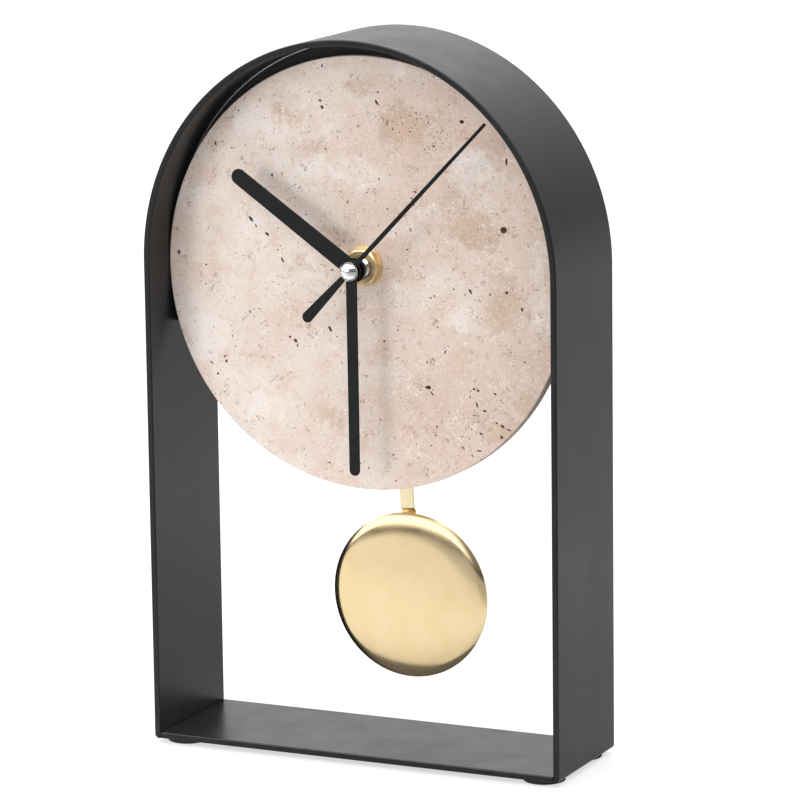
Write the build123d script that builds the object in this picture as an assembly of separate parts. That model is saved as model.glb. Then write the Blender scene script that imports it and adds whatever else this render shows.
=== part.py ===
from build123d import *
import os
from math import cos, radians, sin

# Desk pendulum clock. Millimetres, +Z up, the front faces -Y.
# The origin is on the surface that the clock stands on, under the middle of its footprint.

# One overrun for every cut, and the fits that the moving and the pressed pieces share
OVERRUN = 1.0
RUN_FIT = 0.05
PRESS_GAP = 0.02
FACE_PLAY = 0.4

# Frame: one steel band bent to an arch, with a base plate welded between its feet
FRAME_WIDTH = 180.0
FRAME_HEIGHT = 290.5
FRAME_DEPTH = 57.5
CROWN_LIFT = 2.0
SHEET = 2.6
FRAME_CORNER_RADIUS = 1.8
SHEET_EDGE_RADIUS = 0.4
FOOT_DIAMETER = 17.0
FOOT_HEIGHT = 1.8
FOOT_EDGE_RADIUS = 0.5
FOOT_SIDE_INSET = 10.5
FOOT_END_INSET = 10.0

# Carrier plate and stone dial
PLATE_THICKNESS = 1.5
PLATE_EDGE_GAP = 0.05
PLATE_DROP = 28.3
DIAL_RECESS = 17.55
DIAL_THICKNESS = 5.5
DIAL_SIDE_GAP = 0.1
DIAL_TOP_GAP = 5.4
DIAL_CHAMFER = 0.5

# Threaded bush, its nut and washers
BUSH_RADIUS = 4.0
BUSH_HOLE_GAP = 0.2
BUSH_STICKOUT = 7.2
BUSH_FLANGE_RADIUS = 6.0
BUSH_FLANGE_THICKNESS = 0.9
RUBBER_RADIUS = 9.0
RUBBER_THICKNESS = 0.8
WASHER_RADIUS = 8.0
WASHER_THICKNESS = 0.6
NUT_FLATS = 14.0
NUT_CORNER_RADIUS = 7.8
NUT_THICKNESS = 3.1
NUT_CHAMFER = 1.1
NUT_MOUTH_CHAMFER = 0.8

# Hands, their bosses and the three nested arbors
HOUR_PIPE_RADIUS = 2.55
MINUTE_PIPE_RADIUS = 1.55
SECOND_ARBOR_RADIUS = 0.55
BOSS_GAP = 0.5
PIPE_PROUD = 0.15
HOUR_BOSS_RADIUS = 5.0
HOUR_BOSS_GAP = 1.2
HOUR_BOSS_THICKNESS = 1.3
HOUR_HAND_LENGTH = 64.1
HOUR_HAND_ROOT_WIDTH = 6.9
HOUR_HAND_TIP_WIDTH = 6.0
HOUR_HAND_THICKNESS = 0.6
HOUR_HAND_ANGLE = 304.75
MINUTE_BOSS_RADIUS = 4.0
MINUTE_BOSS_THICKNESS = 1.0
MINUTE_HAND_LENGTH = 82.6
MINUTE_HAND_WIDTH = 4.5
MINUTE_HAND_THICKNESS = 0.6
MINUTE_HAND_ANGLE = 179.8
SECOND_TUBE_GAP = 0.45
SECOND_TUBE_RADIUS = 1.4
SECOND_TUBE_LENGTH = 0.9
SECOND_HAND_LENGTH = 85.3
SECOND_HAND_ROOT_WIDTH = 2.2
SECOND_HAND_TIP_WIDTH = 1.5
SECOND_HAND_THICKNESS = 0.4
SECOND_HAND_EYE_RADIUS = 2.2
SECOND_HAND_ANGLE = 44.0
TAIL_LENGTH = 29.1
TAIL_ROOT_WIDTH = 2.6
TAIL_END_WIDTH = 4.7
CAP_RADIUS = 3.5
CAP_RIM = 0.8
CAP_HEIGHT = 3.1

# AA cell and its bay in the movement
BATTERY_RADIUS = 7.1
BATTERY_LENGTH = 50.5
BATTERY_BUTTON_RADIUS = 2.75
BATTERY_BUTTON_LENGTH = 1.3
BATTERY_EDGE_RADIUS = 0.6
BATTERY_GAP = 0.35
BAY_WALL = 0.9
CONTACT_ROOM = 1.55
CONTACT_THICKNESS = 0.3
CONTACT_WIDTH = 9.0
CONTACT_DEPTH = 9.0
CONTACT_NUB_RADIUS = 2.0
CONTACT_GAP = 0.1

# Movement case
MOVEMENT_DEPTH = 16.5
CASE_ABOVE_HUB = 28.0
CASE_WALL = 1.2
CASE_CORNER_RADIUS = 2.5
FRONT_SHELL_DEPTH = 12.4
LIP_DEPTH = 1.5
LIP_THICKNESS = 0.8
LIP_GAP = 0.1
LIP_CORNER_RADIUS = 0.6
PENDULUM_BAY_HEIGHT = 28.0
WORK_CLEARANCE = 0.6

# Train: tooth form as shares of the module and of the tooth pitch
ADDENDUM_SHARE = 0.7
DEDENDUM_SHARE = 1.1
TOOTH_ROOT_SHARE = 0.25
TOOTH_TIP_SHARE = 0.09

# Train: tooth counts, distances between arbors and the directions they lie in
PINION_TEETH = 8
CANNON_TEETH = 10
MOTION_TEETH = 30
HOUR_TEETH = 32
CENTRE_TEETH = 64
THIRD_TEETH = 60
SECOND_TEETH = 40
INTERMEDIATE_TEETH = 48
MOTION_DISTANCE = 11.5
MOTION_DIRECTION = 140.0
THIRD_DISTANCE = 10.1
THIRD_DIRECTION = 10.0
INTERMEDIATE_DISTANCE = 10.2
INTERMEDIATE_DIRECTION = 80.0
ROTOR_DISTANCE = 9.0
ROTOR_DIRECTION = 125.0

# Train: thicknesses along the arbors
WHEEL_THICKNESS = 0.8
WHEEL_SPACING = 0.7
TRAIN_PLATE_THICKNESS = 1.0
TRAIN_PLATE_GAP = 0.2
PINION_OVERLAP = 0.15
ARBOR_END = 0.25
MOTION_ARBOR_RADIUS = 0.6
TRAIN_ARBOR_RADIUS = 0.5
ROTOR_ARBOR_RADIUS = 0.4
PIVOT_RECESS = 0.1
BLIND_PIVOT_DEPTH = 0.6
POST_RADIUS = 1.2
POST_INSET = 2.4

# Bridge over the train and the posts that carry it, measured from the hands' axis
BRIDGE_LEFT = 14.5
BRIDGE_RIGHT = 21.5
BRIDGE_BELOW = 9.5
BRIDGE_ABOVE = 21.0
BRIDGE_CORNER_RADIUS = 1.5
UPPER_POST_SETBACK = 4.8

# Step motor
ROTOR_MAGNET_RADIUS = 2.8
ROTOR_MAGNET_LENGTH = 3.2
STATOR_THICKNESS = 0.8
STATOR_GAP = 0.5
STATOR_SIDE = 4.2
STATOR_BOTTOM = 9.0
STATOR_POST_RADIUS = 0.9
STATOR_POST_SETBACK = 3.0
CORE_WIDTH = 3.0
CORE_THICKNESS = 0.8
BOBBIN_HALF = 3.4
BOBBIN_FLANGE = 0.8
BOBBIN_TUBE_RADIUS = 1.9
BOBBIN_BORE_GAP = 0.1
WINDING_RADIUS = 2.9
COIL_END_GAP = 1.6
COIL_SIDE_GAP = 1.1

# Circuit board with its quartz can and resin-covered chip
BOARD_EDGE_GAP = 1.2
BOARD_WIDTH = 15.0
BOARD_HEIGHT = 11.5
BOARD_THICKNESS = 1.0
QUARTZ_RADIUS = 1.0
QUARTZ_LENGTH = 6.0
QUARTZ_INSET = 2.5
CHIP_RADIUS = 2.6
CHIP_HEIGHT = 0.9
CHIP_INSET = 3.8

# Setting knob
KNOB_RADIUS = 4.5
KNOB_THICKNESS = 2.8
KNOB_GAP = 0.3
KNOB_RIDGES = 24
KNOB_RIDGE_DEPTH = 0.35
KNOB_HOLE_GAP = 0.2

# Pendulum: pivot, hanger, rod and bob, with the swing that the clock is stored at
PIVOT_BELOW_BAY = 5.4
PIVOT_PIN_RADIUS = 1.0
PIVOT_BOSS_RADIUS = 2.5
PIVOT_BOSS_LENGTH = 0.5
PIVOT_PIN_BURIED = 2.4
CLIP_RADIUS = 2.0
CLIP_THICKNESS = 0.5
CLIP_GAP = 0.1
HANGER_RADIUS = 3.2
HANGER_GAP = 0.3
HANGER_THICKNESS = 4.0
HANGER_PADDLE_RADIUS = 4.2
ROD_PEG_DROP = 7.0
ROD_PEG_RADIUS = 1.2
ROD_PEG_PROUD = 0.7
DRIVE_DROP = 13.7
DRIVE_MAGNET_RADIUS = 3.0
DRIVE_MAGNET_THICKNESS = 1.6
DRIVE_COIL_RADIUS = 6.2
DRIVE_COIL_LENGTH = 5.6
DRIVE_BOBBIN_RADIUS = 2.0
DRIVE_BOBBIN_BORE = 1.0
DRIVE_FLANGE_RADIUS = 6.4
DRIVE_FLANGE_THICKNESS = 0.6
ROD_WIDTH = 6.0
ROD_THICKNESS = 1.0
ROD_JOGGLE = 1.2
ROD_JOGGLE_HEIGHT = 1.3
ROD_JOGGLE_ABOVE_BOB = 0.35
ROD_END_BELOW_BOB = 6.0
BOB_RADIUS = 34.2
BOB_HALF_THICKNESS = 3.1
BOB_CROWN = 0.7
BOB_ROLL_WIDTH = 11.0
BOB_RIM = 0.5
BOB_SHEET = 0.5
BOB_FLOOR_GAP = 22.0
BOB_CLIP_WIDTH = 9.0
BOB_CLIP_HEIGHT = 5.0
BOB_CLIP_SHEET = 0.6
BOB_CLIP_RISE = 12.0
SWING_AT_REST = 3.04

# Heights and depths that follow from those sizes
half_depth = FRAME_DEPTH / 2
frame_top = FOOT_HEIGHT + FRAME_HEIGHT
arch_rise = FRAME_WIDTH / 2 + CROWN_LIFT
hub_z = frame_top - arch_rise
base_top = FOOT_HEIGHT + SHEET
dial_radius = FRAME_WIDTH / 2 - SHEET - DIAL_SIDE_GAP
dial_z = frame_top - SHEET - DIAL_TOP_GAP - dial_radius

dial_front = DIAL_RECESS - half_depth
dial_back = dial_front + DIAL_THICKNESS
plate_back = dial_back + PLATE_THICKNESS
case_front = plate_back + RUBBER_THICKNESS
case_rear = case_front + MOVEMENT_DEPTH
front_wall = case_front + CASE_WALL
rear_wall = case_rear - CASE_WALL
case_split = case_front + FRONT_SHELL_DEPTH
flange_back = front_wall + BUSH_FLANGE_THICKNESS

washer_front = dial_front - WASHER_THICKNESS
nut_front = washer_front - NUT_THICKNESS
bush_front = dial_front - BUSH_STICKOUT
hour_boss_back = bush_front - HOUR_BOSS_GAP
hour_boss_front = hour_boss_back - HOUR_BOSS_THICKNESS
hour_hand_front = hour_boss_front - HOUR_HAND_THICKNESS
minute_boss_back = hour_hand_front - BOSS_GAP
minute_boss_front = minute_boss_back - MINUTE_BOSS_THICKNESS
minute_hand_front = minute_boss_front - MINUTE_HAND_THICKNESS
second_tube_back = minute_hand_front - SECOND_TUBE_GAP
second_tube_front = second_tube_back - SECOND_TUBE_LENGTH
second_hand_front = second_tube_front - SECOND_HAND_THICKNESS
cap_front = second_hand_front - CAP_HEIGHT

# Layers of the train, from the front wall of the case to the bridge
hour_wheel_front = flange_back + FACE_PLAY
hour_wheel_back = hour_wheel_front + WHEEL_THICKNESS
motion_wheel_front = hour_wheel_back + WHEEL_SPACING
motion_wheel_back = motion_wheel_front + WHEEL_THICKNESS
middle_plate_front = motion_wheel_back + FACE_PLAY
middle_plate_back = middle_plate_front + TRAIN_PLATE_THICKNESS
centre_wheel_front = middle_plate_back + FACE_PLAY
centre_wheel_back = centre_wheel_front + WHEEL_THICKNESS
third_wheel_front = centre_wheel_back + WHEEL_SPACING
third_wheel_back = third_wheel_front + WHEEL_THICKNESS
second_wheel_front = third_wheel_back + WHEEL_SPACING
second_wheel_back = second_wheel_front + WHEEL_THICKNESS
intermediate_wheel_front = second_wheel_back + WHEEL_SPACING
intermediate_wheel_back = intermediate_wheel_front + WHEEL_THICKNESS
bridge_front = intermediate_wheel_back + FACE_PLAY
bridge_back = bridge_front + TRAIN_PLATE_THICKNESS


def module_for(distance, pinion_teeth, wheel_teeth):
    """Tooth module at which a pinion and a wheel mesh at this distance."""
    return 2 * distance / (pinion_teeth + wheel_teeth)


def tip_radius(module, teeth):
    return module * (teeth / 2 + ADDENDUM_SHARE)


def polar_point(distance, direction):
    return (distance * cos(radians(direction)), distance * sin(radians(direction)))


cannon_module = module_for(MOTION_DISTANCE, CANNON_TEETH, MOTION_TEETH)
hour_module = module_for(MOTION_DISTANCE, PINION_TEETH, HOUR_TEETH)
centre_module = module_for(THIRD_DISTANCE, PINION_TEETH, CENTRE_TEETH)
third_module = module_for(THIRD_DISTANCE, PINION_TEETH, THIRD_TEETH)
second_module = module_for(INTERMEDIATE_DISTANCE, PINION_TEETH, SECOND_TEETH)
intermediate_module = module_for(ROTOR_DISTANCE, PINION_TEETH, INTERMEDIATE_TEETH)

# Arbor places in the front view, from the hands' axis
motion_x, motion_up = polar_point(MOTION_DISTANCE, MOTION_DIRECTION)
third_x, third_up = polar_point(THIRD_DISTANCE, THIRD_DIRECTION)
intermediate_x, intermediate_up = polar_point(INTERMEDIATE_DISTANCE, INTERMEDIATE_DIRECTION)
rotor_dx, rotor_dz = polar_point(ROTOR_DISTANCE, ROTOR_DIRECTION)
rotor_x = intermediate_x + rotor_dx
motion_z = hub_z + motion_up
third_z = hub_z + third_up
intermediate_z = hub_z + intermediate_up
rotor_z = hub_z + intermediate_up + rotor_dz

# Battery bay under the hour wheel, then the pendulum bay, then the foot of the case
bay_top = hub_z - tip_radius(hour_module, HOUR_TEETH) - WORK_CLEARANCE - BAY_WALL
battery_z = bay_top - BATTERY_GAP - BATTERY_RADIUS
battery_y = front_wall + BATTERY_GAP + BATTERY_RADIUS
bay_bottom = battery_z - BATTERY_RADIUS - BATTERY_GAP
pendulum_bay_top = bay_bottom - BAY_WALL
case_bottom = pendulum_bay_top - PENDULUM_BAY_HEIGHT
case_top = hub_z + CASE_ABOVE_HUB
case_half_width = BATTERY_LENGTH / 2 + CONTACT_ROOM + CASE_WALL
case_inner = case_half_width - CASE_WALL
case_middle_z = (case_top + case_bottom) / 2
case_height = case_top - case_bottom
inner_corner = CASE_CORNER_RADIUS - CASE_WALL

# Pendulum: the rod hangs behind the case, and the bob hangs in front of the rod's lower run
pivot_z = pendulum_bay_top - PIVOT_BELOW_BAY
boss_rear = case_rear + PIVOT_BOSS_LENGTH
hanger_front = boss_rear + HANGER_GAP
rod_front = hanger_front + HANGER_THICKNESS
rod_lower_front = rod_front + ROD_JOGGLE
bob_y = rod_lower_front - BOB_HALF_THICKNESS
bob_z = base_top + BOB_FLOOR_GAP + BOB_RADIUS
drive_z = pivot_z - DRIVE_DROP
pendulum_pivot = Axis((0, 0, pivot_z), (0, 1, 0))


def front_view(y):
    """Plane across the clock at depth y, seen from the front: x to the right, z up."""
    return Plane(origin=(0, y, 0), x_dir=(1, 0, 0), z_dir=(0, -1, 0))


def slab(shape, y_front, y_back):
    """Solid between two depths with this outline in the front view."""
    return extrude(front_view(y_back) * shape, amount=y_back - y_front, dir=(0, -1, 0))


def round_bar(x, z, radius, y_front, y_back):
    return slab(Pos(x, z) * Circle(radius), y_front, y_back)


def ring(x, z, outer, inner, y_front, y_back):
    return slab(Pos(x, z) * (Circle(outer) - Circle(inner)), y_front, y_back)


def through_hole(x, z, radius, y_front, y_back):
    """Cutter for a round hole that runs right through between two depths."""
    return round_bar(x, z, radius, y_front - OVERRUN, y_back + OVERRUN)


def box_between(x_low, x_high, y_low, y_high, z_low, z_high):
    middle = Pos((x_low + x_high) / 2, (y_low + y_high) / 2, (z_low + z_high) / 2)
    return middle * Box(x_high - x_low, y_high - y_low, z_high - z_low)


def turned(x, z, profile):
    """Turn a profile of radius and depth points about an axis along Y."""
    outline = make_face(Polyline(*[(x + r, y, z) for r, y in profile], close=True))
    return revolve(outline, Axis((x, 0, z), (0, 1, 0)), 360)


def arch_outline(half_width, rise, bottom):
    """Half ellipse standing on straight sides that run down to bottom."""
    crown = EllipticalCenterArc((0, hub_z), half_width, rise, arc_size=180)
    sides = Polyline(
        (-half_width, hub_z),
        (-half_width, bottom),
        (half_width, bottom),
        (half_width, hub_z),
    )
    return make_face([crown, sides])


def tapered_blade(root_width, tip_width, length):
    """Blade up from its eye, with a round end."""
    tip_centre = length - tip_width / 2
    flanks = Polygon(
        (-root_width / 2, 0),
        (root_width / 2, 0),
        (tip_width / 2, tip_centre),
        (-tip_width / 2, tip_centre),
        align=None,
    )
    return flanks + Pos(0, tip_centre) * Circle(tip_width / 2)


def at_clock_angle(shape, degrees_from_twelve):
    return Pos(0, hub_z) * Rot(0, 0, -degrees_from_twelve) * shape


def gear_outline(teeth, module, phase):
    """Gear with straight-flanked teeth, one of them centred at the angle phase."""
    pitch_angle = 360 / teeth
    tip = tip_radius(module, teeth)
    root = module * (teeth / 2 - DEDENDUM_SHARE)
    corners = [
        (root, -TOOTH_ROOT_SHARE),
        (tip, -TOOTH_TIP_SHARE),
        (tip, TOOTH_TIP_SHARE),
        (root, TOOTH_ROOT_SHARE),
    ]
    points = [
        polar_point(radius, phase + (tooth + share) * pitch_angle)
        for tooth in range(teeth)
        for radius, share in corners
    ]
    return make_face(Polyline(*points, close=True))


def gear(x, z, teeth, module, phase, y_front, y_back):
    return slab(Pos(x, z) * gear_outline(teeth, module, phase), y_front, y_back)


def gap_phase(direction, teeth):
    """Phase that puts a tooth gap at the far side of a pinion lying in this direction."""
    return direction + 180 + 180 / teeth


def frame_arch():
    half = FRAME_WIDTH / 2
    outer = arch_outline(half, arch_rise, FOOT_HEIGHT)
    inner = arch_outline(half - SHEET, arch_rise - SHEET, FOOT_HEIGHT - OVERRUN)
    band = slab(outer - inner, -half_depth, half_depth)
    outer_feet = band.edges().filter_by(Axis.Y).filter_by(lambda e: abs(e.center().X) > half - SHEET / 2)
    low_feet = outer_feet.filter_by(lambda e: e.center().Z < base_top)
    band = fillet(low_feet, FRAME_CORNER_RADIUS)
    rims = band.faces().filter_by(Axis.Y).edges().filter_by(lambda e: e.center().Z > FOOT_HEIGHT + OVERRUN)
    return fillet(rims, SHEET_EDGE_RADIUS)


def base_plate():
    half = FRAME_WIDTH / 2 - SHEET
    plate = box_between(-half, half, -half_depth, half_depth, FOOT_HEIGHT, base_top)
    return fillet(plate.edges().filter_by(Axis.X), SHEET_EDGE_RADIUS)


def rubber_feet():
    x = FRAME_WIDTH / 2 - FOOT_SIDE_INSET
    y = half_depth - FOOT_END_INSET
    pad = Cylinder(FOOT_DIAMETER / 2, FOOT_HEIGHT, align=(Align.CENTER, Align.CENTER, Align.MIN))
    pad = fillet(pad.edges().sort_by(Axis.Z)[0], FOOT_EDGE_RADIUS)
    return Compound([Pos(side * x, end * y, 0) * pad for side in (-1, 1) for end in (-1, 1)])


def carrier_plate():
    half = FRAME_WIDTH / 2 - SHEET - PLATE_EDGE_GAP
    outline = arch_outline(half, arch_rise - SHEET - PLATE_EDGE_GAP, hub_z - PLATE_DROP)
    hole = Pos(0, hub_z) * Circle(BUSH_RADIUS + BUSH_HOLE_GAP)
    return slab(outline - hole, dial_back, plate_back)


def dial_disc():
    disc = round_bar(0, dial_z, dial_radius, dial_front, dial_back)
    front_edge = disc.edges().filter_by(GeomType.CIRCLE).sort_by(Axis.Y)[0]
    disc = chamfer(front_edge, DIAL_CHAMFER)
    return disc - through_hole(0, hub_z, BUSH_RADIUS + BUSH_HOLE_GAP, dial_front, dial_back)


def rubber_washer():
    return ring(0, hub_z, RUBBER_RADIUS, BUSH_RADIUS + BUSH_HOLE_GAP, plate_back, case_front)


def brass_washer():
    return ring(0, hub_z, WASHER_RADIUS, BUSH_RADIUS + BUSH_HOLE_GAP, washer_front, dial_front)


def dial_nut():
    corner_radius = NUT_FLATS / 2 / cos(radians(30))
    blank = slab(Pos(0, hub_z) * RegularPolygon(corner_radius, 6), nut_front, washer_front)
    bore = BUSH_RADIUS + PRESS_GAP
    turned_shape = turned(0, hub_z, [
        (bore, washer_front),
        (NUT_CORNER_RADIUS, washer_front),
        (NUT_CORNER_RADIUS, nut_front + NUT_CHAMFER),
        (NUT_CORNER_RADIUS - NUT_CHAMFER, nut_front),
        (bore + NUT_MOUTH_CHAMFER, nut_front),
        (bore, nut_front + NUT_MOUTH_CHAMFER),
    ])
    return blank & turned_shape


def threaded_bush():
    tube = round_bar(0, hub_z, BUSH_RADIUS, bush_front, flange_back)
    tube += round_bar(0, hub_z, BUSH_FLANGE_RADIUS, front_wall, flange_back)
    return tube - through_hole(0, hub_z, HOUR_PIPE_RADIUS + RUN_FIT, bush_front, flange_back)


def hour_hand():
    blade = tapered_blade(HOUR_HAND_ROOT_WIDTH, HOUR_HAND_TIP_WIDTH, HOUR_HAND_LENGTH)
    outline = blade + Circle(HOUR_BOSS_RADIUS) - Circle(HOUR_PIPE_RADIUS + PRESS_GAP)
    return slab(at_clock_angle(outline, HOUR_HAND_ANGLE), hour_hand_front, hour_boss_front)


def hour_boss():
    return ring(0, hub_z, HOUR_BOSS_RADIUS, HOUR_PIPE_RADIUS + PRESS_GAP, hour_boss_front, hour_boss_back)


def hour_wheel():
    """Wheel with the long pipe that carries the hour hand."""
    phase = gap_phase(MOTION_DIRECTION + 180, HOUR_TEETH)
    pipe_front = hour_hand_front - PIPE_PROUD
    wheel = gear(0, hub_z, HOUR_TEETH, hour_module, phase, hour_wheel_front, hour_wheel_back)
    wheel += round_bar(0, hub_z, HOUR_PIPE_RADIUS, pipe_front, hour_wheel_back)
    return wheel - through_hole(0, hub_z, MINUTE_PIPE_RADIUS + RUN_FIT, pipe_front, hour_wheel_back)


def minute_hand():
    blade = tapered_blade(MINUTE_HAND_WIDTH, MINUTE_HAND_WIDTH, MINUTE_HAND_LENGTH)
    outline = blade + Circle(MINUTE_BOSS_RADIUS) - Circle(MINUTE_PIPE_RADIUS + PRESS_GAP)
    return slab(at_clock_angle(outline, MINUTE_HAND_ANGLE), minute_hand_front, minute_boss_front)


def minute_boss():
    bore = MINUTE_PIPE_RADIUS + PRESS_GAP
    return ring(0, hub_z, MINUTE_BOSS_RADIUS, bore, minute_boss_front, minute_boss_back)


def minute_arbor():
    """Tube behind the minute hand, with the cannon pinion on it."""
    tube_front = minute_hand_front - PIPE_PROUD
    tube_back = centre_wheel_back + ARBOR_END
    y_front = motion_wheel_front - PINION_OVERLAP
    y_back = motion_wheel_back + PINION_OVERLAP
    arbor = gear(0, hub_z, CANNON_TEETH, cannon_module, MOTION_DIRECTION, y_front, y_back)
    arbor += round_bar(0, hub_z, MINUTE_PIPE_RADIUS, tube_front, tube_back)
    return arbor - through_hole(0, hub_z, SECOND_ARBOR_RADIUS + RUN_FIT, tube_front, tube_back)


def motion_wheel():
    """Wheel driven by the cannon pinion, with the pinion that drives the hour wheel."""
    x, z = motion_x, motion_z
    phase = gap_phase(MOTION_DIRECTION, MOTION_TEETH)
    wheel = gear(x, z, MOTION_TEETH, cannon_module, phase, motion_wheel_front, motion_wheel_back)
    y_front = hour_wheel_front - PINION_OVERLAP
    wheel += gear(x, z, PINION_TEETH, hour_module, MOTION_DIRECTION + 180, y_front, motion_wheel_front)
    return wheel - through_hole(x, z, MOTION_ARBOR_RADIUS + PRESS_GAP, y_front, motion_wheel_back)


def motion_arbor():
    y_front = front_wall - BLIND_PIVOT_DEPTH + PIVOT_RECESS
    return round_bar(motion_x, motion_z, MOTION_ARBOR_RADIUS, y_front, case_rear + KNOB_GAP + KNOB_THICKNESS)


def setting_knob():
    outline = Circle(KNOB_RADIUS) - Circle(MOTION_ARBOR_RADIUS + PRESS_GAP)
    for groove in PolarLocations(KNOB_RADIUS, KNOB_RIDGES):
        outline -= groove * Circle(KNOB_RIDGE_DEPTH)
    y_front = case_rear + KNOB_GAP
    return slab(Pos(motion_x, motion_z) * outline, y_front, y_front + KNOB_THICKNESS)


def centre_wheel():
    """Wheel that turns once an hour and carries the minute arbor round by a slipping fit."""
    phase = gap_phase(THIRD_DIRECTION + 180, CENTRE_TEETH)
    y_front, y_back = centre_wheel_front, centre_wheel_back
    wheel = gear(0, hub_z, CENTRE_TEETH, centre_module, phase, y_front, y_back)
    return wheel - through_hole(0, hub_z, MINUTE_PIPE_RADIUS + RUN_FIT, y_front, y_back)


def plain_arbor(x, z, radius):
    """Steel arbor between the middle plate and the bridge."""
    return round_bar(x, z, radius, middle_plate_front + PIVOT_RECESS, bridge_back - PIVOT_RECESS)


def third_wheel():
    x, z = third_x, third_z
    phase = gap_phase(THIRD_DIRECTION, THIRD_TEETH)
    wheel = gear(x, z, THIRD_TEETH, third_module, phase, third_wheel_front, third_wheel_back)
    y_front = centre_wheel_front - PINION_OVERLAP
    wheel += gear(x, z, PINION_TEETH, centre_module, THIRD_DIRECTION + 180, y_front, third_wheel_front)
    return wheel + plain_arbor(x, z, TRAIN_ARBOR_RADIUS)


def second_wheel():
    phase = gap_phase(INTERMEDIATE_DIRECTION + 180, SECOND_TEETH)
    y_front, y_back = second_wheel_front, second_wheel_back
    wheel = gear(0, hub_z, SECOND_TEETH, second_module, phase, y_front, y_back)
    wheel += gear(0, hub_z, PINION_TEETH, third_module, THIRD_DIRECTION, third_wheel_front, y_front)
    return wheel - through_hole(0, hub_z, SECOND_ARBOR_RADIUS + PRESS_GAP, third_wheel_front, y_back)


def second_arbor():
    return round_bar(0, hub_z, SECOND_ARBOR_RADIUS, second_hand_front, bridge_back - PIVOT_RECESS)


def intermediate_wheel():
    x, z = intermediate_x, intermediate_z
    phase = gap_phase(ROTOR_DIRECTION + 180, INTERMEDIATE_TEETH)
    y_front, y_back = intermediate_wheel_front, intermediate_wheel_back
    wheel = gear(x, z, INTERMEDIATE_TEETH, intermediate_module, phase, y_front, y_back)
    low = second_wheel_front - PINION_OVERLAP
    wheel += gear(x, z, PINION_TEETH, second_module, INTERMEDIATE_DIRECTION + 180, low, y_front)
    return wheel + plain_arbor(x, z, TRAIN_ARBOR_RADIUS)


def rotor_pinion():
    y_front = intermediate_wheel_front - PINION_OVERLAP
    y_back = intermediate_wheel_back + PINION_OVERLAP
    towards_wheel = ROTOR_DIRECTION + 180
    pinion = gear(rotor_x, rotor_z, PINION_TEETH, intermediate_module, towards_wheel, y_front, y_back)
    return pinion + plain_arbor(rotor_x, rotor_z, ROTOR_ARBOR_RADIUS)


# Step motor places: the coil stands upright beside the left wall of the case
coil_x = COIL_SIDE_GAP + BOBBIN_HALF - case_inner
coil_y = middle_plate_back + BOBBIN_HALF
core_front = coil_y - CORE_THICKNESS / 2
stator_front = core_front - STATOR_THICKNESS
core_bottom = hub_z + STATOR_BOTTOM
core_top = case_top - CASE_WALL - COIL_SIDE_GAP
coil_bottom = core_bottom + COIL_END_GAP + BOBBIN_FLANGE
coil_top = core_top - COIL_END_GAP - BOBBIN_FLANGE
window_right = coil_x + BOBBIN_HALF + STATOR_GAP


def rotor_magnet():
    middle = core_front - STATOR_THICKNESS / 2
    half = ROTOR_MAGNET_LENGTH / 2
    bore = ROTOR_ARBOR_RADIUS + PRESS_GAP
    return ring(rotor_x, rotor_z, ROTOR_MAGNET_RADIUS, bore, middle - half, middle + half)


def stator():
    left = coil_x - CORE_WIDTH / 2
    right = rotor_x + STATOR_SIDE
    plate = box_between(left, right, stator_front, core_front, core_bottom, core_top)
    window = box_between(
        left - OVERRUN,
        window_right,
        stator_front - OVERRUN,
        core_front + OVERRUN,
        core_bottom + COIL_END_GAP,
        core_top - COIL_END_GAP,
    )
    hole = through_hole(rotor_x, rotor_z, ROTOR_MAGNET_RADIUS + STATOR_GAP, stator_front, core_front)
    return plate - window - hole


def coil_core():
    half = CORE_WIDTH / 2
    return box_between(coil_x - half, coil_x + half, core_front, core_front + CORE_THICKNESS, core_bottom, core_top)


def upright_round(x, y, radius, z_low, z_high):
    lift = Pos(x, y, z_low)
    return lift * Cylinder(radius, z_high - z_low, align=(Align.CENTER, Align.CENTER, Align.MIN))


def core_slot():
    half_width = CORE_WIDTH / 2 + BOBBIN_BORE_GAP
    half_thickness = CORE_THICKNESS / 2 + BOBBIN_BORE_GAP
    return box_between(
        coil_x - half_width,
        coil_x + half_width,
        coil_y - half_thickness,
        coil_y + half_thickness,
        core_bottom,
        core_top,
    )


def coil_bobbin():
    tube = upright_round(coil_x, coil_y, BOBBIN_TUBE_RADIUS, coil_bottom, coil_top)
    for z in (coil_bottom - BOBBIN_FLANGE, coil_top):
        tube += box_between(
            coil_x - BOBBIN_HALF,
            coil_x + BOBBIN_HALF,
            coil_y - BOBBIN_HALF,
            coil_y + BOBBIN_HALF,
            z,
            z + BOBBIN_FLANGE,
        )
    return tube - core_slot()


def coil_winding():
    winding = upright_round(coil_x, coil_y, WINDING_RADIUS, coil_bottom, coil_top)
    return winding - upright_round(coil_x, coil_y, BOBBIN_TUBE_RADIUS, coil_bottom, coil_top)


# Circuit board place: the upper right corner of the middle plate
board_right = case_inner - BOARD_EDGE_GAP
board_left = board_right - BOARD_WIDTH
board_top = case_top - CASE_WALL - BOARD_EDGE_GAP
board_bottom = board_top - BOARD_HEIGHT
board_back = middle_plate_back + BOARD_THICKNESS


def circuit_board():
    return box_between(board_left, board_right, middle_plate_back, board_back, board_bottom, board_top)


def quartz_can():
    y = board_back + QUARTZ_RADIUS
    z = board_top - QUARTZ_INSET
    can = Cylinder(QUARTZ_RADIUS, QUARTZ_LENGTH, rotation=(0, 90, 0))
    return Pos((board_left + board_right) / 2, y, z) * can


def chip_resin():
    x = (board_left + board_right) / 2
    z = board_bottom + CHIP_INSET
    bead = round_bar(x, z, CHIP_RADIUS, board_back, board_back + CHIP_HEIGHT)
    return fillet(bead.edges().filter_by(GeomType.CIRCLE).sort_by(Axis.Y)[-1], CHIP_HEIGHT / 2)


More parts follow.
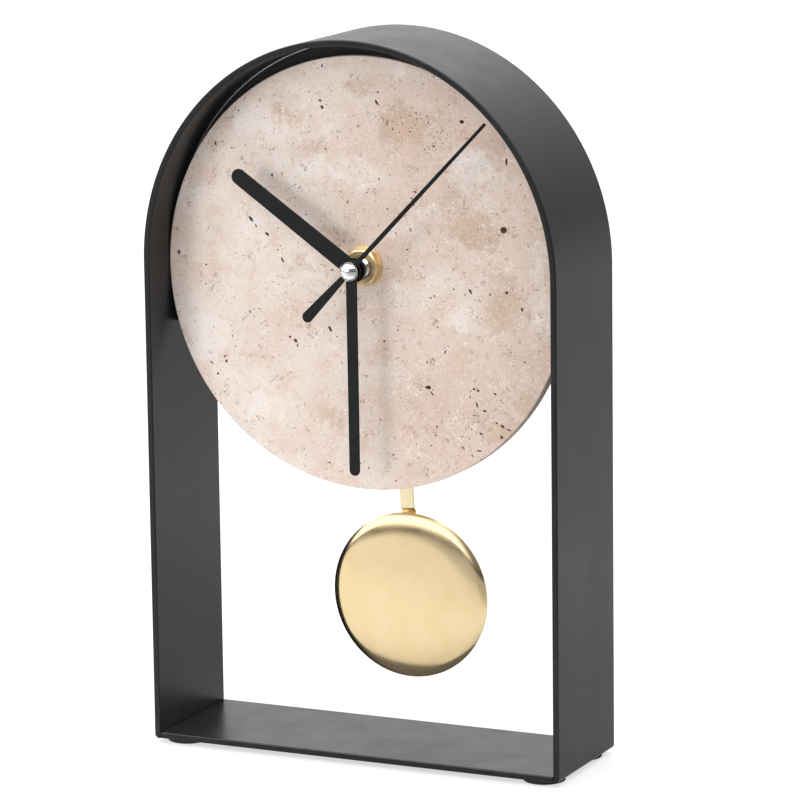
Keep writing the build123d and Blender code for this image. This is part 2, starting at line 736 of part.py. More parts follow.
def bridge_posts():
    """Places of the four posts under the bridge, in the front view."""
    right = BRIDGE_RIGHT - BRIDGE_CORNER_RADIUS
    low = hub_z - BRIDGE_BELOW + BRIDGE_CORNER_RADIUS
    return [
        (BRIDGE_CORNER_RADIUS - BRIDGE_LEFT, low),
        (right, low),
        (right, board_bottom - POST_INSET),
        (board_left - UPPER_POST_SETBACK, hub_z + BRIDGE_ABOVE - BRIDGE_CORNER_RADIUS),
    ]


def arbor_holes(y_front, y_back):
    """Running holes for the four arbors that both train plates share."""
    places = [
        (motion_x, motion_z, MOTION_ARBOR_RADIUS),
        (third_x, third_z, TRAIN_ARBOR_RADIUS),
        (intermediate_x, intermediate_z, TRAIN_ARBOR_RADIUS),
        (rotor_x, rotor_z, ROTOR_ARBOR_RADIUS),
    ]
    return [through_hole(x, z, r + RUN_FIT, y_front, y_back) for x, z, r in places]


def middle_plate():
    half_width = case_inner - TRAIN_PLATE_GAP
    low = bay_top + BAY_WALL + TRAIN_PLATE_GAP
    high = case_top - CASE_WALL - TRAIN_PLATE_GAP
    outline = Pos(0, (low + high) / 2) * RectangleRounded(2 * half_width, high - low, inner_corner)
    plate = slab(outline, middle_plate_front, middle_plate_back)
    for x, z in bridge_posts():
        plate += round_bar(x, z, POST_RADIUS, middle_plate_back, bridge_front)
    for z in (core_bottom, core_top):
        inward = STATOR_POST_RADIUS if z == core_bottom else -STATOR_POST_RADIUS
        x = window_right + STATOR_POST_SETBACK
        plate += round_bar(x, z + inward, STATOR_POST_RADIUS, middle_plate_back, stator_front)
    holes = arbor_holes(middle_plate_front, middle_plate_back)
    hub = through_hole(0, hub_z, MINUTE_PIPE_RADIUS + RUN_FIT, middle_plate_front, middle_plate_back)
    return plate - holes - hub


def train_bridge():
    width = BRIDGE_LEFT + BRIDGE_RIGHT
    height = BRIDGE_BELOW + BRIDGE_ABOVE
    centre_x = (BRIDGE_RIGHT - BRIDGE_LEFT) / 2
    centre_z = hub_z + (BRIDGE_ABOVE - BRIDGE_BELOW) / 2
    outline = Pos(centre_x, centre_z) * RectangleRounded(width, height, BRIDGE_CORNER_RADIUS)
    plate = slab(outline, bridge_front, bridge_back)
    hub = through_hole(0, hub_z, SECOND_ARBOR_RADIUS + RUN_FIT, bridge_front, bridge_back)
    return plate - arbor_holes(bridge_front, bridge_back) - hub


def case_block(inset, corner, y_front, y_back):
    """Rounded block with the outline of the case, drawn in by inset."""
    width = 2 * (case_half_width - inset)
    outline = RectangleRounded(width, case_height - 2 * inset, corner)
    return slab(Pos(0, case_middle_z) * outline, y_front, y_back)


def movement_front_shell():
    shell = case_block(0, CASE_CORNER_RADIUS, case_front, case_split)
    shell -= case_block(CASE_WALL, inner_corner, front_wall, case_split + OVERRUN)
    x = case_inner - POST_INSET
    for z in (bay_top + BAY_WALL + POST_INSET, case_top - CASE_WALL - POST_INSET):
        for side in (-1, 1):
            shell += round_bar(side * x, z, POST_RADIUS, front_wall, middle_plate_front)
    shell -= through_hole(0, hub_z, BUSH_RADIUS + PRESS_GAP, case_front, front_wall)
    pivot = MOTION_ARBOR_RADIUS + RUN_FIT
    return shell - round_bar(motion_x, motion_z, pivot, front_wall - BLIND_PIVOT_DEPTH, front_wall + OVERRUN)


def movement_rear_cover():
    cover = case_block(0, CASE_CORNER_RADIUS, case_split, case_rear)
    cover -= case_block(CASE_WALL, inner_corner, case_split - OVERRUN, rear_wall)
    lip_outer = CASE_WALL + LIP_GAP
    lip_inner = lip_outer + LIP_THICKNESS
    cover += case_block(0, CASE_CORNER_RADIUS, case_split, case_split + LIP_DEPTH)
    cover += case_block(lip_outer, inner_corner, case_split - LIP_DEPTH, case_split)
    cover -= case_block(lip_inner, LIP_CORNER_RADIUS, case_split - LIP_DEPTH - OVERRUN, rear_wall)
    half = case_inner - LIP_GAP
    for z in (bay_top, bay_bottom - BAY_WALL):
        cover += box_between(-half, half, front_wall + TRAIN_PLATE_GAP, rear_wall, z, z + BAY_WALL)
    window_half = BATTERY_LENGTH / 2 + BATTERY_GAP
    cover -= box_between(-window_half, window_half, battery_y, case_rear + OVERRUN, bay_bottom, bay_top)
    cover -= through_hole(motion_x, motion_z, MOTION_ARBOR_RADIUS + KNOB_HOLE_GAP, rear_wall, case_rear)
    boss_front = case_rear - PIVOT_PIN_BURIED - CASE_WALL
    cover += round_bar(0, pivot_z, PIVOT_BOSS_RADIUS, boss_front, boss_rear)
    pin_front = case_rear - PIVOT_PIN_BURIED
    return cover - round_bar(0, pivot_z, PIVOT_PIN_RADIUS + PRESS_GAP, pin_front, boss_rear + OVERRUN)


def battery_contacts():
    contacts = []
    for side in (-1, 1):
        wall, face = side * case_inner, side * (case_inner - CONTACT_THICKNESS)
        tip = side * (BATTERY_LENGTH / 2 + CONTACT_GAP)
        low = front_wall + TRAIN_PLATE_GAP
        strip = box_between(
            min(wall, face),
            max(wall, face),
            low,
            low + CONTACT_DEPTH,
            battery_z - CONTACT_WIDTH / 2,
            battery_z + CONTACT_WIDTH / 2,
        )
        nub = Cylinder(CONTACT_NUB_RADIUS, abs(face - tip), rotation=(0, 90, 0))
        contacts.append(strip + Pos((face + tip) / 2, battery_y, battery_z) * nub)
    return Compound(contacts)


def aa_battery():
    body_length = BATTERY_LENGTH - BATTERY_BUTTON_LENGTH
    body = Cylinder(BATTERY_RADIUS, body_length, rotation=(0, 90, 0))
    body = fillet(body.edges().filter_by(GeomType.CIRCLE), BATTERY_EDGE_RADIUS)
    body_x = -BATTERY_BUTTON_LENGTH / 2
    button = Cylinder(BATTERY_BUTTON_RADIUS, BATTERY_BUTTON_LENGTH, rotation=(0, 90, 0))
    cell = Pos(body_x, 0, 0) * body + Pos(body_length / 2, 0, 0) * button
    return Pos(0, battery_y, battery_z) * cell


def second_hand():
    blade = tapered_blade(SECOND_HAND_ROOT_WIDTH, SECOND_HAND_TIP_WIDTH, SECOND_HAND_LENGTH)
    tail = Rot(0, 0, 180) * tapered_blade(TAIL_ROOT_WIDTH, TAIL_END_WIDTH, TAIL_LENGTH)
    outline = blade + tail + Circle(SECOND_HAND_EYE_RADIUS) - Circle(SECOND_ARBOR_RADIUS + PRESS_GAP)
    return slab(at_clock_angle(outline, SECOND_HAND_ANGLE), second_hand_front, second_tube_front)


def second_tube():
    bore = SECOND_ARBOR_RADIUS + PRESS_GAP
    return ring(0, hub_z, SECOND_TUBE_RADIUS, bore, second_tube_front, second_tube_back)


def dome_cap():
    """Bright cap pressed on the second hand: a low rim under a round dome."""
    rim_front = second_hand_front - CAP_RIM
    dome = TangentArc((0, cap_front), (CAP_RADIUS, rim_front), tangent=(1, 0))
    sides = Polyline(
        (CAP_RADIUS, rim_front),
        (CAP_RADIUS, second_hand_front),
        (0, second_hand_front),
        (0, cap_front),
    )
    return Pos(0, 0, hub_z) * revolve(make_face([dome, sides]), Axis.Y, 360)


def drive_coil_bobbin():
    y_front = rear_wall - DRIVE_COIL_LENGTH - 2 * DRIVE_FLANGE_THICKNESS
    bobbin = ring(0, drive_z, DRIVE_BOBBIN_RADIUS, DRIVE_BOBBIN_BORE, y_front, rear_wall)
    for y in (y_front, rear_wall - DRIVE_FLANGE_THICKNESS):
        bobbin += ring(0, drive_z, DRIVE_FLANGE_RADIUS, DRIVE_BOBBIN_BORE, y, y + DRIVE_FLANGE_THICKNESS)
    return bobbin


def drive_coil():
    y_back = rear_wall - DRIVE_FLANGE_THICKNESS
    return ring(0, drive_z, DRIVE_COIL_RADIUS, DRIVE_BOBBIN_RADIUS, y_back - DRIVE_COIL_LENGTH, y_back)


def pivot_pin():
    pin_back = rod_front + CLIP_GAP + CLIP_THICKNESS
    return round_bar(0, pivot_z, PIVOT_PIN_RADIUS, case_rear - PIVOT_PIN_BURIED, pin_back)


def pivot_clip():
    y = rod_front + CLIP_GAP
    return ring(0, pivot_z, CLIP_RADIUS, PIVOT_PIN_RADIUS + PRESS_GAP, y, y + CLIP_THICKNESS)


def swung(piece):
    """Turn a pendulum piece about the pivot to the swing that the clock is stored at."""
    return piece.rotate(pendulum_pivot, -SWING_AT_REST)


def pendulum_hanger():
    outline = Pos(0, pivot_z) * Circle(HANGER_RADIUS)
    outline += Pos(0, (pivot_z + drive_z) / 2) * Rectangle(2 * HANGER_RADIUS, pivot_z - drive_z)
    outline += Pos(0, drive_z) * Circle(HANGER_PADDLE_RADIUS)
    hanger = slab(outline, hanger_front, rod_front)
    hanger -= through_hole(0, pivot_z, PIVOT_PIN_RADIUS + RUN_FIT, hanger_front, rod_front)
    pocket = DRIVE_MAGNET_RADIUS + PRESS_GAP
    hanger -= round_bar(0, drive_z, pocket, hanger_front - OVERRUN, hanger_front + DRIVE_MAGNET_THICKNESS)
    peg_back = rod_front + ROD_THICKNESS + ROD_PEG_PROUD
    return swung(hanger + round_bar(0, pivot_z - ROD_PEG_DROP, ROD_PEG_RADIUS, rod_front, peg_back))


def drive_magnet():
    y_back = hanger_front + DRIVE_MAGNET_THICKNESS
    return swung(round_bar(0, drive_z, DRIVE_MAGNET_RADIUS, hanger_front, y_back))


def pendulum_rod():
    """Flat strip that hooks over the hanger's peg and steps back to pass behind the bob."""
    half = ROD_WIDTH / 2
    peg_z = pivot_z - ROD_PEG_DROP
    step_low = bob_z + BOB_RADIUS + ROD_JOGGLE_ABOVE_BOB
    step_high = step_low + ROD_JOGGLE_HEIGHT
    end = bob_z - ROD_END_BELOW_BOB
    side = Polygon(
        (rod_front, peg_z),
        (rod_front + ROD_THICKNESS, peg_z),
        (rod_front + ROD_THICKNESS, step_high),
        (rod_lower_front + ROD_THICKNESS, step_low),
        (rod_lower_front + ROD_THICKNESS, end),
        (rod_lower_front, end),
        (rod_lower_front, step_low),
        (rod_front, step_high),
        align=None,
    )
    strip = extrude(Plane.YZ * side, amount=half, both=True)
    strip += round_bar(0, peg_z, half, rod_front, rod_front + ROD_THICKNESS)
    hole = through_hole(0, peg_z, ROD_PEG_RADIUS + RUN_FIT, rod_front, rod_front + ROD_THICKNESS)
    return swung(strip - hole)


def bob_dome(inset):
    """Half of the bob from its rim plane forward: crowned middle, rolled edge and upright rim."""
    radius = BOB_RADIUS - inset
    front = inset - BOB_HALF_THICKNESS
    knee = radius - BOB_ROLL_WIDTH
    crown = TangentArc((0, front), (knee, front + BOB_CROWN), tangent=(1, 0))
    roll = TangentArc((knee, front + BOB_CROWN), (radius, -BOB_RIM), tangent=crown % 1)
    sides = Polyline((radius, -BOB_RIM), (radius, 0), (0, 0), (0, front))
    return Pos(0, bob_y, bob_z) * revolve(make_face([crown, roll, sides]), Axis.Y, 360)


def bob_shell():
    return bob_dome(0) - bob_dome(BOB_SHEET)


def rearward(piece):
    """The same piece turned over to the back of the bob's rim plane."""
    return mirror(piece, Plane(origin=(0, bob_y, 0), z_dir=(0, 1, 0)))


def bob_front_shell():
    return swung(bob_shell())


def bob_back_shell():
    return swung(rearward(bob_shell()))


def bob_clip():
    """Strap soldered to the bob's back, which holds the rod."""
    middle = bob_z + BOB_CLIP_RISE
    z_low = middle - BOB_CLIP_HEIGHT / 2
    z_high = middle + BOB_CLIP_HEIGHT / 2
    half = BOB_CLIP_WIDTH / 2
    slot_half = ROD_WIDTH / 2 + PRESS_GAP
    slot_back = rod_lower_front + ROD_THICKNESS + PRESS_GAP
    strap = box_between(-half, half, bob_y, slot_back + BOB_CLIP_SHEET, z_low, z_high)
    slot = box_between(-slot_half, slot_half, bob_y - OVERRUN, slot_back, z_low - OVERRUN, z_high + OVERRUN)
    return swung(strap - slot - rearward(bob_dome(0)))


pieces = {
    "frame_arch": frame_arch,
    "base_plate": base_plate,
    "rubber_feet": rubber_feet,
    "carrier_plate": carrier_plate,
    "dial_disc": dial_disc,
    "rubber_washer": rubber_washer,
    "brass_washer": brass_washer,
    "dial_nut": dial_nut,
    "threaded_bush": threaded_bush,
    "hour_hand": hour_hand,
    "hour_boss": hour_boss,
    "hour_wheel": hour_wheel,
    "minute_hand": minute_hand,
    "minute_boss": minute_boss,
    "minute_arbor": minute_arbor,
    "motion_wheel": motion_wheel,
    "motion_arbor": motion_arbor,
    "setting_knob": setting_knob,
    "second_hand": second_hand,
    "second_tube": second_tube,
    "dome_cap": dome_cap,
    "second_arbor": second_arbor,
    "second_wheel": second_wheel,
    "centre_wheel": centre_wheel,
    "third_wheel": third_wheel,
    "intermediate_wheel": intermediate_wheel,
    "rotor_pinion": rotor_pinion,
    "rotor_magnet": rotor_magnet,
    "stator": stator,
    "coil_core": coil_core,
    "coil_bobbin": coil_bobbin,
    "coil_winding": coil_winding,
    "middle_plate": middle_plate,
    "train_bridge": train_bridge,
    "circuit_board": circuit_board,
    "quartz_can": quartz_can,
    "chip_resin": chip_resin,
    "movement_front_shell": movement_front_shell,
    "movement_rear_cover": movement_rear_cover,
    "battery_contacts": battery_contacts,
    "aa_battery": aa_battery,
    "drive_coil_bobbin": drive_coil_bobbin,
    "drive_coil": drive_coil,
    "pivot_pin": pivot_pin,
    "pivot_clip": pivot_clip,
    "pendulum_hanger": pendulum_hanger,
    "drive_magnet": drive_magnet,
    "pendulum_rod": pendulum_rod,
    "bob_front_shell": bob_front_shell,
    "bob_back_shell": bob_back_shell,
    "bob_clip": bob_clip,
}

os.makedirs("parts", exist_ok=True)
for name, make_piece in pieces.items():
    export_step(make_piece(), f"parts/{name}.step")

print("hands' axis", hub_z, "pendulum pivot", round(pivot_z, 3), "bob centre", round(bob_z, 3))
print("motion arbor", round(motion_x, 3), round(motion_z, 3), "battery", round(battery_y, 3), round(battery_z, 3))
print("third arbor", round(third_x, 3), round(third_z, 3))
print("intermediate arbor", round(intermediate_x, 3), round(intermediate_z, 3))
print("rotor arbor", round(rotor_x, 3), round(rotor_z, 3))
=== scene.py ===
import math
import random

import bmesh
import bpy
from mathutils import Matrix, Vector, geometry


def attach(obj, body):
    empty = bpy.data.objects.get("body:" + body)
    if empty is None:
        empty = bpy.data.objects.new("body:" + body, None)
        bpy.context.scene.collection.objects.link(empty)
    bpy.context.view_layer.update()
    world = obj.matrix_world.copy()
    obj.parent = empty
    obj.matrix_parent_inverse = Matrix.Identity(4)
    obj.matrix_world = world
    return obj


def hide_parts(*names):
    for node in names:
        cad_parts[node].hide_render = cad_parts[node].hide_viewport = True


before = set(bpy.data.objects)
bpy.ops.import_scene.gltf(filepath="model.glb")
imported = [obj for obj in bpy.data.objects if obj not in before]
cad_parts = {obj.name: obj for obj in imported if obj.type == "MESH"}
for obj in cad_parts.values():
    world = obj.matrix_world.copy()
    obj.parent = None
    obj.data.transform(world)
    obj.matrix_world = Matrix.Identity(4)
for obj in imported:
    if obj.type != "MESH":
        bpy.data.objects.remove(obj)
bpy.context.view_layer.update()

# Frame band: one strip of mild steel, bent to an arch that runs down into two straight legs.
# It is powder-coated black after welding. The coat is satin and a little uneven, it rounds the sheared
# edges, and it carries a few specks of dust and pale rubbed spots.
MM = 0.001
BAND_HALF_WIDTH = 90.0
BAND_RISE = 92.0
BAND_SPRINGING = 200.3
BAND_FOOT = 1.8
BAND_SHEET = 2.6
BAND_DEPTH = 57.5
BAND_EDGE = 0.55
BAND_FOOT_CORNER = 1.8
FOOT_STEPS = 6
ARCH_STEPS = 120
EDGE_STEPS = 4
SAME_SPOT = 0.0001


def linear_colour(hex_text):
    """sRGB hex as the linear colour that a shader takes."""
    shares = [int(hex_text[k:k + 2], 16) / 255 for k in (1, 3, 5)]
    return [s / 12.92 if s <= 0.04045 else ((s + 0.055) / 1.055) ** 2.4 for s in shares] + [1.0]


def add_node(tree, kind, inputs=None, out=None, **settings):
    """One node with its settings and inputs, each a value or an output of another; out picks its own output."""
    node = tree.nodes.new(kind)
    for setting, value in settings.items():
        setattr(node, setting, value)
    for socket, given in (inputs or {}).items():
        if isinstance(given, bpy.types.NodeSocket):
            tree.links.new(given, node.inputs[socket])
        else:
            node.inputs[socket].default_value = given
    return node if out is None else node.outputs[out]


def surface(name, dark, light, patch, rough, grain, depth, constants=None, stretch=(1, 1, 1)):
    """Finish whose shade and gloss drift over patches, with a fine grain in relief. Lengths in mm."""
    material = bpy.data.materials.new(name)
    material.use_nodes = True
    tree = material.node_tree
    tree.nodes.clear()
    place = add_node(tree, "ShaderNodeTexCoord", None, "Object", name="place")
    drawn = add_node(tree, "ShaderNodeMapping", {"Vector": place, "Scale": stretch}, 0)
    drift = add_node(tree, "ShaderNodeTexNoise",
                     {"Vector": drawn, "Scale": 1 / (patch * MM), "Detail": 5.0, "Roughness": 0.6}, 0)
    share = add_node(tree, "ShaderNodeMapRange", {"Value": drift, "From Min": 0.32, "From Max": 0.68}, 0)
    colour = add_node(tree, "ShaderNodeMix", {0: share, 6: linear_colour(dark), 7: linear_colour(light)}, 2,
                      data_type="RGBA")
    gloss = add_node(tree, "ShaderNodeMapRange", {"Value": share, "To Min": rough[0], "To Max": rough[1]}, 0)
    fine = add_node(tree, "ShaderNodeTexNoise",
                    {"Vector": drawn, "Scale": 1 / (grain * MM), "Detail": 3.0}, 0)
    relief = add_node(tree, "ShaderNodeBump", {"Height": fine, "Distance": depth * MM}, 0)
    shader = add_node(tree, "ShaderNodeBsdfPrincipled",
                      {"Base Color": colour, "Roughness": gloss, "Normal": relief, **(constants or {})},
                      name="shader")
    add_node(tree, "ShaderNodeOutputMaterial", {"Surface": shader.outputs[0]})
    return material


def tint(material, mask, colour, blend="MIX"):
    """Lay a colour over a finish where the mask is one."""
    tree = material.node_tree
    base = tree.nodes["shader"].inputs["Base Color"]
    mixed = add_node(tree, "ShaderNodeMix",
                     {0: mask, 6: base.links[0].from_socket, 7: linear_colour(colour)}, 2,
                     data_type="RGBA", blend_type=blend)
    tree.links.new(mixed, base)


def specks(material, spacing, size, share, colour):
    """Round specks of up to this size, in this share of the cells of a loose grid. Lengths in mm."""
    tree = material.node_tree
    cells = add_node(tree, "ShaderNodeTexVoronoi",
                     {"Vector": tree.nodes["place"].outputs["Object"], "Scale": 1 / (spacing * MM)})
    draw = add_node(tree, "ShaderNodeSeparateColor", {"Color": cells.outputs["Color"]}, 0)
    chosen = add_node(tree, "ShaderNodeMath", {0: draw, 1: 1 - share}, 0, operation="GREATER_THAN")
    reach = size / 2 / spacing
    spot = add_node(tree, "ShaderNodeMapRange",
                    {"Value": cells.outputs["Distance"], "From Min": reach, "From Max": reach * 0.6}, 0)
    tint(material, add_node(tree, "ShaderNodeMath", {0: chosen, 1: spot}, 0, operation="MULTIPLY"), colour)


def shape_tree(name, sizes):
    """Empty Geometry Nodes tree with a start mesh and these named sizes as its inputs."""
    tree = bpy.data.node_groups.new(name, "GeometryNodeTree")
    tree.interface.new_socket("Start", in_out="INPUT", socket_type="NodeSocketGeometry")
    for size in sizes:
        tree.interface.new_socket(size, in_out="INPUT", socket_type="NodeSocketFloat")
    tree.interface.new_socket("Mesh", in_out="OUTPUT", socket_type="NodeSocketGeometry")
    return tree, add_node(tree, "NodeGroupInput").outputs


def close_tree(tree, shape, material):
    """End a tree in real geometry that wears its material."""
    real = add_node(tree, "GeometryNodeRealizeInstances", {0: shape}, 0)
    dressed = add_node(tree, "GeometryNodeSetMaterial", {0: real, "Material": material}, 0)
    add_node(tree, "NodeGroupOutput", {0: dressed})


def grown(tree, sizes, start=None):
    """Mesh that a tree makes with these sizes, as plain geometry."""
    holder = bpy.data.objects.new(tree.name, start or bpy.data.meshes.new(tree.name))
    bpy.context.scene.collection.objects.link(holder)
    modifier = holder.modifiers.new(tree.name, "NODES")
    modifier.node_group = tree
    for item in tree.interface.items_tree:
        if item.name in sizes:
            modifier[item.identifier] = float(sizes[item.name])
    solid = holder.evaluated_get(bpy.context.evaluated_depsgraph_get())
    mesh = bpy.data.meshes.new_from_object(solid)
    bpy.data.objects.remove(holder)
    return mesh


def made(shell, name, turn_out=True):
    """Plain mesh of a shell, with every face turned outwards unless all lie right already."""
    if turn_out:
        bmesh.ops.recalc_face_normals(shell, faces=shell.faces)
    mesh = bpy.data.meshes.new(name)
    shell.to_mesh(mesh)
    shell.free()
    return mesh


def outward(mesh):
    """Grown mesh with its doubles merged and every face turned outwards."""
    shell = bmesh.new()
    shell.from_mesh(mesh)
    bmesh.ops.remove_doubles(shell, verts=shell.verts, dist=SAME_SPOT * MM)
    return made(shell, mesh.name)


def place_piece(name, mesh, material, body, slot, *nodes, sharp=35):
    """Set a finished mesh in the scene as the dressed form of these CAD nodes."""
    if material:
        mesh.materials.clear()
        mesh.materials.append(material)
    mesh.polygons.foreach_set("use_smooth", [True] * len(mesh.polygons))
    mesh.set_sharp_from_angle(angle=math.radians(sharp))
    piece = bpy.data.objects.new(name, mesh)
    bpy.context.scene.collection.objects.link(piece)
    weighting = piece.modifiers.new("even_normals", "WEIGHTED_NORMAL")
    weighting.keep_sharp = True
    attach(piece, body)
    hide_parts(*nodes)


# Powder-coated steel: dark grey rather than black in the light, satin, with an orange peel of about 1 mm.
# The pale specks are dust and rubbed spots, the dark ones pits in the coat.
powder_coat = surface("powder_coated_steel", "#121416", "#1d2124", 18, (0.26, 0.37), 0.8, 0.006,
                      {"IOR": 1.34}, (1, 1, 0.35))
specks(powder_coat, 9.0, 0.55, 0.35, "#7d7c78")
specks(powder_coat, 4.0, 0.45, 0.25, "#0b0c0c")


def bent_band_tree():
    """Strip swept along two legs and half an ellipse, with its outer foot corners rounded."""
    names = ("Half width", "Rise", "Springing", "Foot", "Sheet", "Depth", "Edge", "Foot corner")
    tree, size = shape_tree("bent_band", names)
    last = 2 * (FOOT_STEPS + 1) + ARCH_STEPS
    known = {name: size[name] for name in names}
    known["index"] = add_node(tree, "GeometryNodeInputIndex", None, 0)
    # Each sum of the path: its name, the operation and its sides, which are numbers or earlier results
    path_sums = (
        ("to end", "SUBTRACT", last, "index"), ("from end", "MINIMUM", "index", "to end"),
        ("share of foot", "DIVIDE", "from end", FOOT_STEPS), ("up the leg", "SUBTRACT", "from end", FOOT_STEPS),
        ("along", "SUBTRACT", "index", FOOT_STEPS + 1), ("share of arch", "DIVIDE", "along", ARCH_STEPS),
        ("turn", "MULTIPLY", "share of arch", math.pi), ("foot turn", "MULTIPLY", "share of foot", math.pi / 2),
        ("foot cosine", "COSINE", "foot turn"), ("foot lift", "SUBTRACT", 1.0, "foot cosine"),
        ("corner up", "MULTIPLY", "Foot corner", "foot lift"), ("whole leg", "SUBTRACT", "Springing", "Foot"),
        ("straight", "SUBTRACT", "whole leg", "Foot corner"), ("foot up", "ADD", "Foot", "corner up"),
        ("leg up", "MULTIPLY", "straight", "up the leg"), ("height", "ADD", "foot up", "leg up"),
        ("half sheet", "MULTIPLY", "Sheet", 0.5), ("middle rise", "SUBTRACT", "Rise", "half sheet"),
        ("sine", "SINE", "turn"), ("rise", "MULTIPLY", "middle rise", "sine"),
        ("middle", "SUBTRACT", "Half width", "half sheet"), ("leftward", "MULTIPLY", "middle", -1.0),
        ("cosine", "COSINE", "turn"), ("across", "MULTIPLY", "cosine", "leftward"),
        ("up", "ADD", "height", "rise"),
    )
    clamped = ("share of foot", "up the leg", "share of arch")
    for name, operation, *sides in path_sums:
        inputs = {k: known.get(side, side) for k, side in enumerate(sides)}
        known[name] = add_node(tree, "ShaderNodeMath", inputs, 0, operation=operation, use_clamp=name in clamped)
    line = add_node(tree, "GeometryNodeMeshLine", {"Count": last + 1}, 0)
    point = add_node(tree, "ShaderNodeCombineXYZ", {0: known["across"], 2: known["up"]}, 0)
    path = add_node(tree, "GeometryNodeSetPosition", {"Geometry": line, "Position": point}, 0)
    curve = add_node(tree, "GeometryNodeMeshToCurve", {0: path}, 0)
    strip = add_node(tree, "GeometryNodeCurvePrimitiveQuadrilateral",
                     {"Width": size["Sheet"], "Height": size["Depth"]}, 0)
    section = add_node(tree, "GeometryNodeFilletCurve",
                       {"Curve": strip, "Count": EDGE_STEPS, "Radius": size["Edge"]}, 0, mode="POLY")
    swept = add_node(tree, "GeometryNodeCurveToMesh",
                     {"Curve": curve, "Profile Curve": section, "Fill Caps": True}, 0)
    here = add_node(tree, "GeometryNodeInputPosition", None, 0)
    known["x"], _, known["z"] = add_node(tree, "ShaderNodeSeparateXYZ", {0: here}).outputs
    # The sums that round the outer foot corners: how far each point moves in at its height
    corner_sums = (
        ("above", "SUBTRACT", "z", "Foot"), ("short", "SUBTRACT", "Foot corner", "above"),
        ("below", "MAXIMUM", "short", 0.0), ("corner square", "MULTIPLY", "Foot corner", "Foot corner"),
        ("below square", "MULTIPLY", "below", "below"),
        ("squares", "SUBTRACT", "corner square", "below square"),
        ("reach", "SQRT", "squares"), ("inset", "SUBTRACT", "Foot corner", "reach"), ("side", "SIGN", "x"),
        ("from middle", "ABSOLUTE", "x"), ("outside", "GREATER_THAN", "from middle", "middle"),
        ("inward", "MULTIPLY", "outside", -1.0), ("inset on its side", "MULTIPLY", "inset", "side"),
        ("shift", "MULTIPLY", "inset on its side", "inward"),
    )
    for name, operation, *sides in corner_sums:
        inputs = {k: known.get(side, side) for k, side in enumerate(sides)}
        known[name] = add_node(tree, "ShaderNodeMath", inputs, 0, operation=operation)
    offset = add_node(tree, "ShaderNodeCombineXYZ", {0: known["shift"]}, 0)
    rounded_feet = add_node(tree, "GeometryNodeSetPosition", {"Geometry": swept, "Offset": offset}, 0)
    close_tree(tree, rounded_feet, powder_coat)
    return tree


band_mesh = grown(bent_band_tree(), {
    "Half width": BAND_HALF_WIDTH * MM, "Rise": BAND_RISE * MM, "Springing": BAND_SPRINGING * MM,
    "Foot": BAND_FOOT * MM, "Sheet": BAND_SHEET * MM, "Depth": BAND_DEPTH * MM, "Edge": BAND_EDGE * MM,
    "Foot corner": BAND_FOOT_CORNER * MM,
})
place_piece("frame_band", outward(band_mesh), powder_coat, "frame", "black_powder_coat", "frame_arch")

# Base plate: flat steel of the same gauge, set between the legs and welded to them from below.
# It wears the same powder coat; the fine dark line beside each leg is where the two sheets meet.
PLATE_EDGE = 0.55


def block(low, high, edge, steps=3):
    """Block between two corners with rounded edges, in mm."""
    shell = bmesh.new()
    bmesh.ops.create_cube(shell, size=1.0)
    for corner in shell.verts:
        corner.co = Vector([(a + b) / 2 + c * (b - a) for a, b, c in zip(low, high, corner.co)]) * MM
    bmesh.ops.bevel(shell, geom=shell.edges[:], offset=edge * MM, segments=steps, profile=0.5, affect="EDGES")
    return made(shell, "block", turn_out=False)


base_inside = BAND_HALF_WIDTH - BAND_SHEET
base_low = (-base_inside, -BAND_DEPTH / 2, BAND_FOOT)
base_high = (base_inside, BAND_DEPTH / 2, BAND_FOOT + BAND_SHEET)
place_piece("base_sheet", block(base_low, base_high, PLATE_EDGE), powder_coat, "frame", "black_powder_coat",
            "base_plate")

# Feet: four round pads, moulded in black rubber with a shallow cup underneath, stuck under the base plate.
# Rubber is matt and slightly dusty, and its moulded skin has a fine grain.
PAD_RADIUS = 8.5
PAD_HEIGHT = 1.8
PAD_ROUND = 0.5
PAD_CUP_RADIUS = 5.5
PAD_CUP_SLOPE = 0.6
PAD_CUP_DEPTH = 0.4
PAD_SPREAD = (159.0, 37.5)
ON_AXIS = 0.0001

# Moulded rubber: a flat dark grey without any highlight.
rubber = surface("moulded_black_rubber", "#141414", "#1d1d1c", 6, (0.7, 0.85), 0.5, 0.02, {"IOR": 1.52})


def turned(profile, centre, axis="Y", steps=96):
    """Closed shell turned about an axis from (radius, place along the axis) points in mm."""
    shell = bmesh.new()
    rings = []
    for radius, along in profile:
        ring = []
        for k in range(steps if radius > ON_AXIS else 1):
            turn = 2 * math.pi * k / steps
            across, up = radius * math.cos(turn), radius * math.sin(turn)
            spot = {"Y": (across, along, up), "Z": (across, up, along), "X": (along, across, up)}[axis]
            ring.append(shell.verts.new(Vector([a + b for a, b in zip(spot, centre)]) * MM))
        rings.append(ring)
    for first, second in zip(rings, rings[1:] + rings[:1]):
        if len(first) == 1 and len(second) == 1:
            continue
        for k in range(steps):
            corners = [first[k % len(first)], first[(k + 1) % len(first)],
                       second[(k + 1) % len(second)], second[k % len(second)]]
            shell.faces.new(list(dict.fromkeys(corners)))
    return made(shell, "turned")


